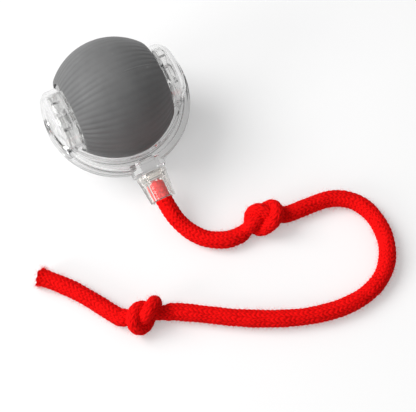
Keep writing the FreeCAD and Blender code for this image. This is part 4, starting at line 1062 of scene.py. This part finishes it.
foil, tree, shader = new_finish("silver_foil", FOIL_LIGHT, 0.3)
creases = place_noise(tree, 330, 5.0, 0.6)
creased = colour_steps(tree, creases, [(0.35, FOIL_DARK), (0.6, FOIL_LIGHT)])
on_foil = rescale(tree, split(tree, own_place(tree))["X"], *TAPE_EDGE)
taped = blend(tree, on_foil, (*TAPE_AMBER, 1), creased)
set_inputs(tree, shader, {"Base Color": taped, "Metallic": on_foil})
bump_from(tree, shader, creases, 0.00012)
dress(solids["battery"], foil)

# Circuit board and charging board.
# White solder mask over copper tracks, with plated holes. Both boards sit in the inner frame's slots.

MASK_WHITE = (0.72, 0.74, 0.72)
MASK_OVER_TRACK = (0.56, 0.60, 0.55)
PLATED = (0.78, 0.60, 0.26)
BLOCK_SCALE = 230.0
TRACKS_PER_BLOCK = 9.0
HOLE_SCALE = 420.0


def board_finish(name, turn):
    """White laminate with tracks and plated holes in its plane, which a turn about Y brings flat."""
    material, tree, shader = new_finish(name, MASK_WHITE, 0.4)
    turned = {"Vector": own_place(tree), "Rotation": (math.radians(-TAIL_DROP), turn, 0)}
    flat = add_node(tree, "ShaderNodeMapping", turned).outputs["Vector"]
    blocks = add_node(tree, "ShaderNodeTexVoronoi", {"Vector": flat, "Scale": BLOCK_SCALE},
                      voronoi_dimensions="2D", distance="CHEBYCHEV")
    lane = calculate(tree, "MULTIPLY", blocks.outputs["Distance"], TRACKS_PER_BLOCK)
    track = rescale(tree, calculate(tree, "FRACT", lane), 0.62, 0.70)
    holes = add_node(tree, "ShaderNodeTexVoronoi", {"Vector": flat, "Scale": HOLE_SCALE, "Randomness": 0.6})
    at_hole = rescale(tree, holes.outputs["Distance"], 0.20, 0.15)
    masked = colour_steps(tree, track, [(0.2, MASK_WHITE), (0.7, MASK_OVER_TRACK)])
    plated = blend(tree, at_hole, masked, (*PLATED, 1))
    set_inputs(tree, shader, {"Base Color": plated, "Metallic": at_hole})
    bump_from(tree, shader, track, 0.00002)
    return material


dress(solids["circuit_board"], board_finish("circuit_board_laminate", math.radians(90)))
dress(solids["charging_board"], board_finish("charging_board_laminate", 0))

# Button switch and chips.
# The switch is a black tactile one with a nylon body; the chips are moulded in black epoxy.

switch_nylon = grained_finish("switch_nylon", (0.016, 0.016, 0.017), (0.034, 0.034, 0.035), 0.42,
                              3000, 0.00002, 500)
dress(solids["button_switch"], switch_nylon)
epoxy = grained_finish("chip_epoxy", (0.009, 0.009, 0.009), (0.020, 0.020, 0.021), 0.6, 7000, 0.00002, 700)
dress(solids["control_chip"], epoxy)
dress(solids["driver_chip"], epoxy)

# Status lamp.
# Clear resin dome over a patch of yellow phosphor, soldered on the board behind the left cap.

LAMP_MIDDLE = (0.0, 0.005246, 0.023435)
CLEAR_RESIN = (0.88, 0.92, 0.90)
PHOSPHOR = (0.90, 0.72, 0.12)
resin, tree, shader = new_finish("lamp_resin", CLEAR_RESIN, 0.08, {"Transmission Weight": 0.6, "IOR": 1.5})
millimetres_off = axle_distance(tree, LAMP_MIDDLE, 1000)
phosphor = colour_steps(tree, millimetres_off, [(0.45, PHOSPHOR), (0.65, CLEAR_RESIN)])
set_inputs(tree, shader, {"Base Color": phosphor})
bump_from(tree, shader, place_noise(tree, 1400), 0.00001)
dress(solids["status_lamp"], resin)

# Motion sensor and charging socket.
# The sensor is a ball switch in a drawn can; the socket's shell is folded from plated sheet. Both are
# soldered to their boards.

plated_steel = drawn_finish("plated_steel", STEEL_DARK, STEEL_LIGHT, 0.26, 3600, 0.000008)
dress(solids["motion_sensor"], plated_steel)
dress(solids["charging_port"], plated_steel)

# Cap screws.
# Four plated self-tapping screws with domed heads and a cross recess, two through each cap into the
# inner frame's posts.

SCREW_SEAT = 13.9
SCREW_SPREAD = 7.1
SCREW_HEAD_RADIUS = 1.3
SCREW_HEAD_HEIGHT = 0.5
SCREW_SHANK = 0.64
SCREW_LENGTH = 3.2
SCREW_POINT = 0.3
SCREW_NECK = 0.2
SCREW_SIDES = 36
SCREW_TURN = 20.0
SCREW_TURN_APART = 35.0
HEAD_STEPS = 8
THREAD_PITCH = 0.45
THREAD_DEPTH = 0.12
THREAD_STEPS = 44
CROSS_LENGTH = 1.5
CROSS_WIDTH = 0.34
CROSS_DEPTH = 0.34


def screw_outline(turned):
    """Half section of a screw after a share of a turn, from its tip at the minus end to its head's top."""
    thread_start = SCREW_POINT - SCREW_LENGTH
    thread_length = SCREW_LENGTH - SCREW_POINT - SCREW_NECK
    outline = [(-SCREW_LENGTH, 0.0), (thread_start, SCREW_SHANK - THREAD_DEPTH)]
    for number in range(1, THREAD_STEPS + 1):
        x = thread_start + number * thread_length / THREAD_STEPS
        phase = (x / THREAD_PITCH - turned) % 1
        outline.append((x, SCREW_SHANK - THREAD_DEPTH * abs(2 * phase - 1)))
    outline.append((0, SCREW_SHANK))
    for step in range(HEAD_STEPS + 1):
        angle = math.pi / 2 * step / HEAD_STEPS
        height = SCREW_HEAD_HEIGHT * (0.15 + 0.85 * math.sin(angle)) if step else 0.0
        outline.append((height, SCREW_HEAD_RADIUS * math.cos(angle) ** 0.8))
    return outline


def make_screw():
    """One screw along X, its head's seat at 0 and its tip on the minus side."""
    screw = ring_solid("screw", [
        around_axle(screw_outline(step / SCREW_SIDES), 2 * math.pi * step / SCREW_SIDES)
        for step in range(SCREW_SIDES)
    ], closed=True)
    ends = (SCREW_HEAD_HEIGHT - CROSS_DEPTH, 1)
    for width, height in ((CROSS_LENGTH, CROSS_WIDTH), (CROSS_WIDTH, CROSS_LENGTH)):
        corners = rectangle(width, -height / 2, height / 2)
        combine(screw, ring_solid("cross_bar", [[(x, y, z) for y, z in corners] for x in ends]), "DIFFERENCE")
    return screw


one_screw = make_screw()
all_screws = bmesh.new()
for facing in (0, 180):
    for side in (1, -1):
        copied = one_screw.data.copy()
        copied.transform(Matrix.Rotation(math.radians(facing), 4, "Z")
                         @ Matrix.Translation((SCREW_SEAT, side * SCREW_SPREAD, 0))
                         @ Matrix.Rotation(math.radians(SCREW_TURN + SCREW_TURN_APART * side), 4, "X"))
        all_screws.from_mesh(copied)
screws = object_from("screws", [], [])
all_screws.to_mesh(screws.data)
all_screws.free()
bpy.data.objects.remove(one_screw)
screws.data.transform(ball_seat)
soften_edges(screws)
dress(screws, plated_steel)
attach(screws, "carrier")
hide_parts("cap_screws")
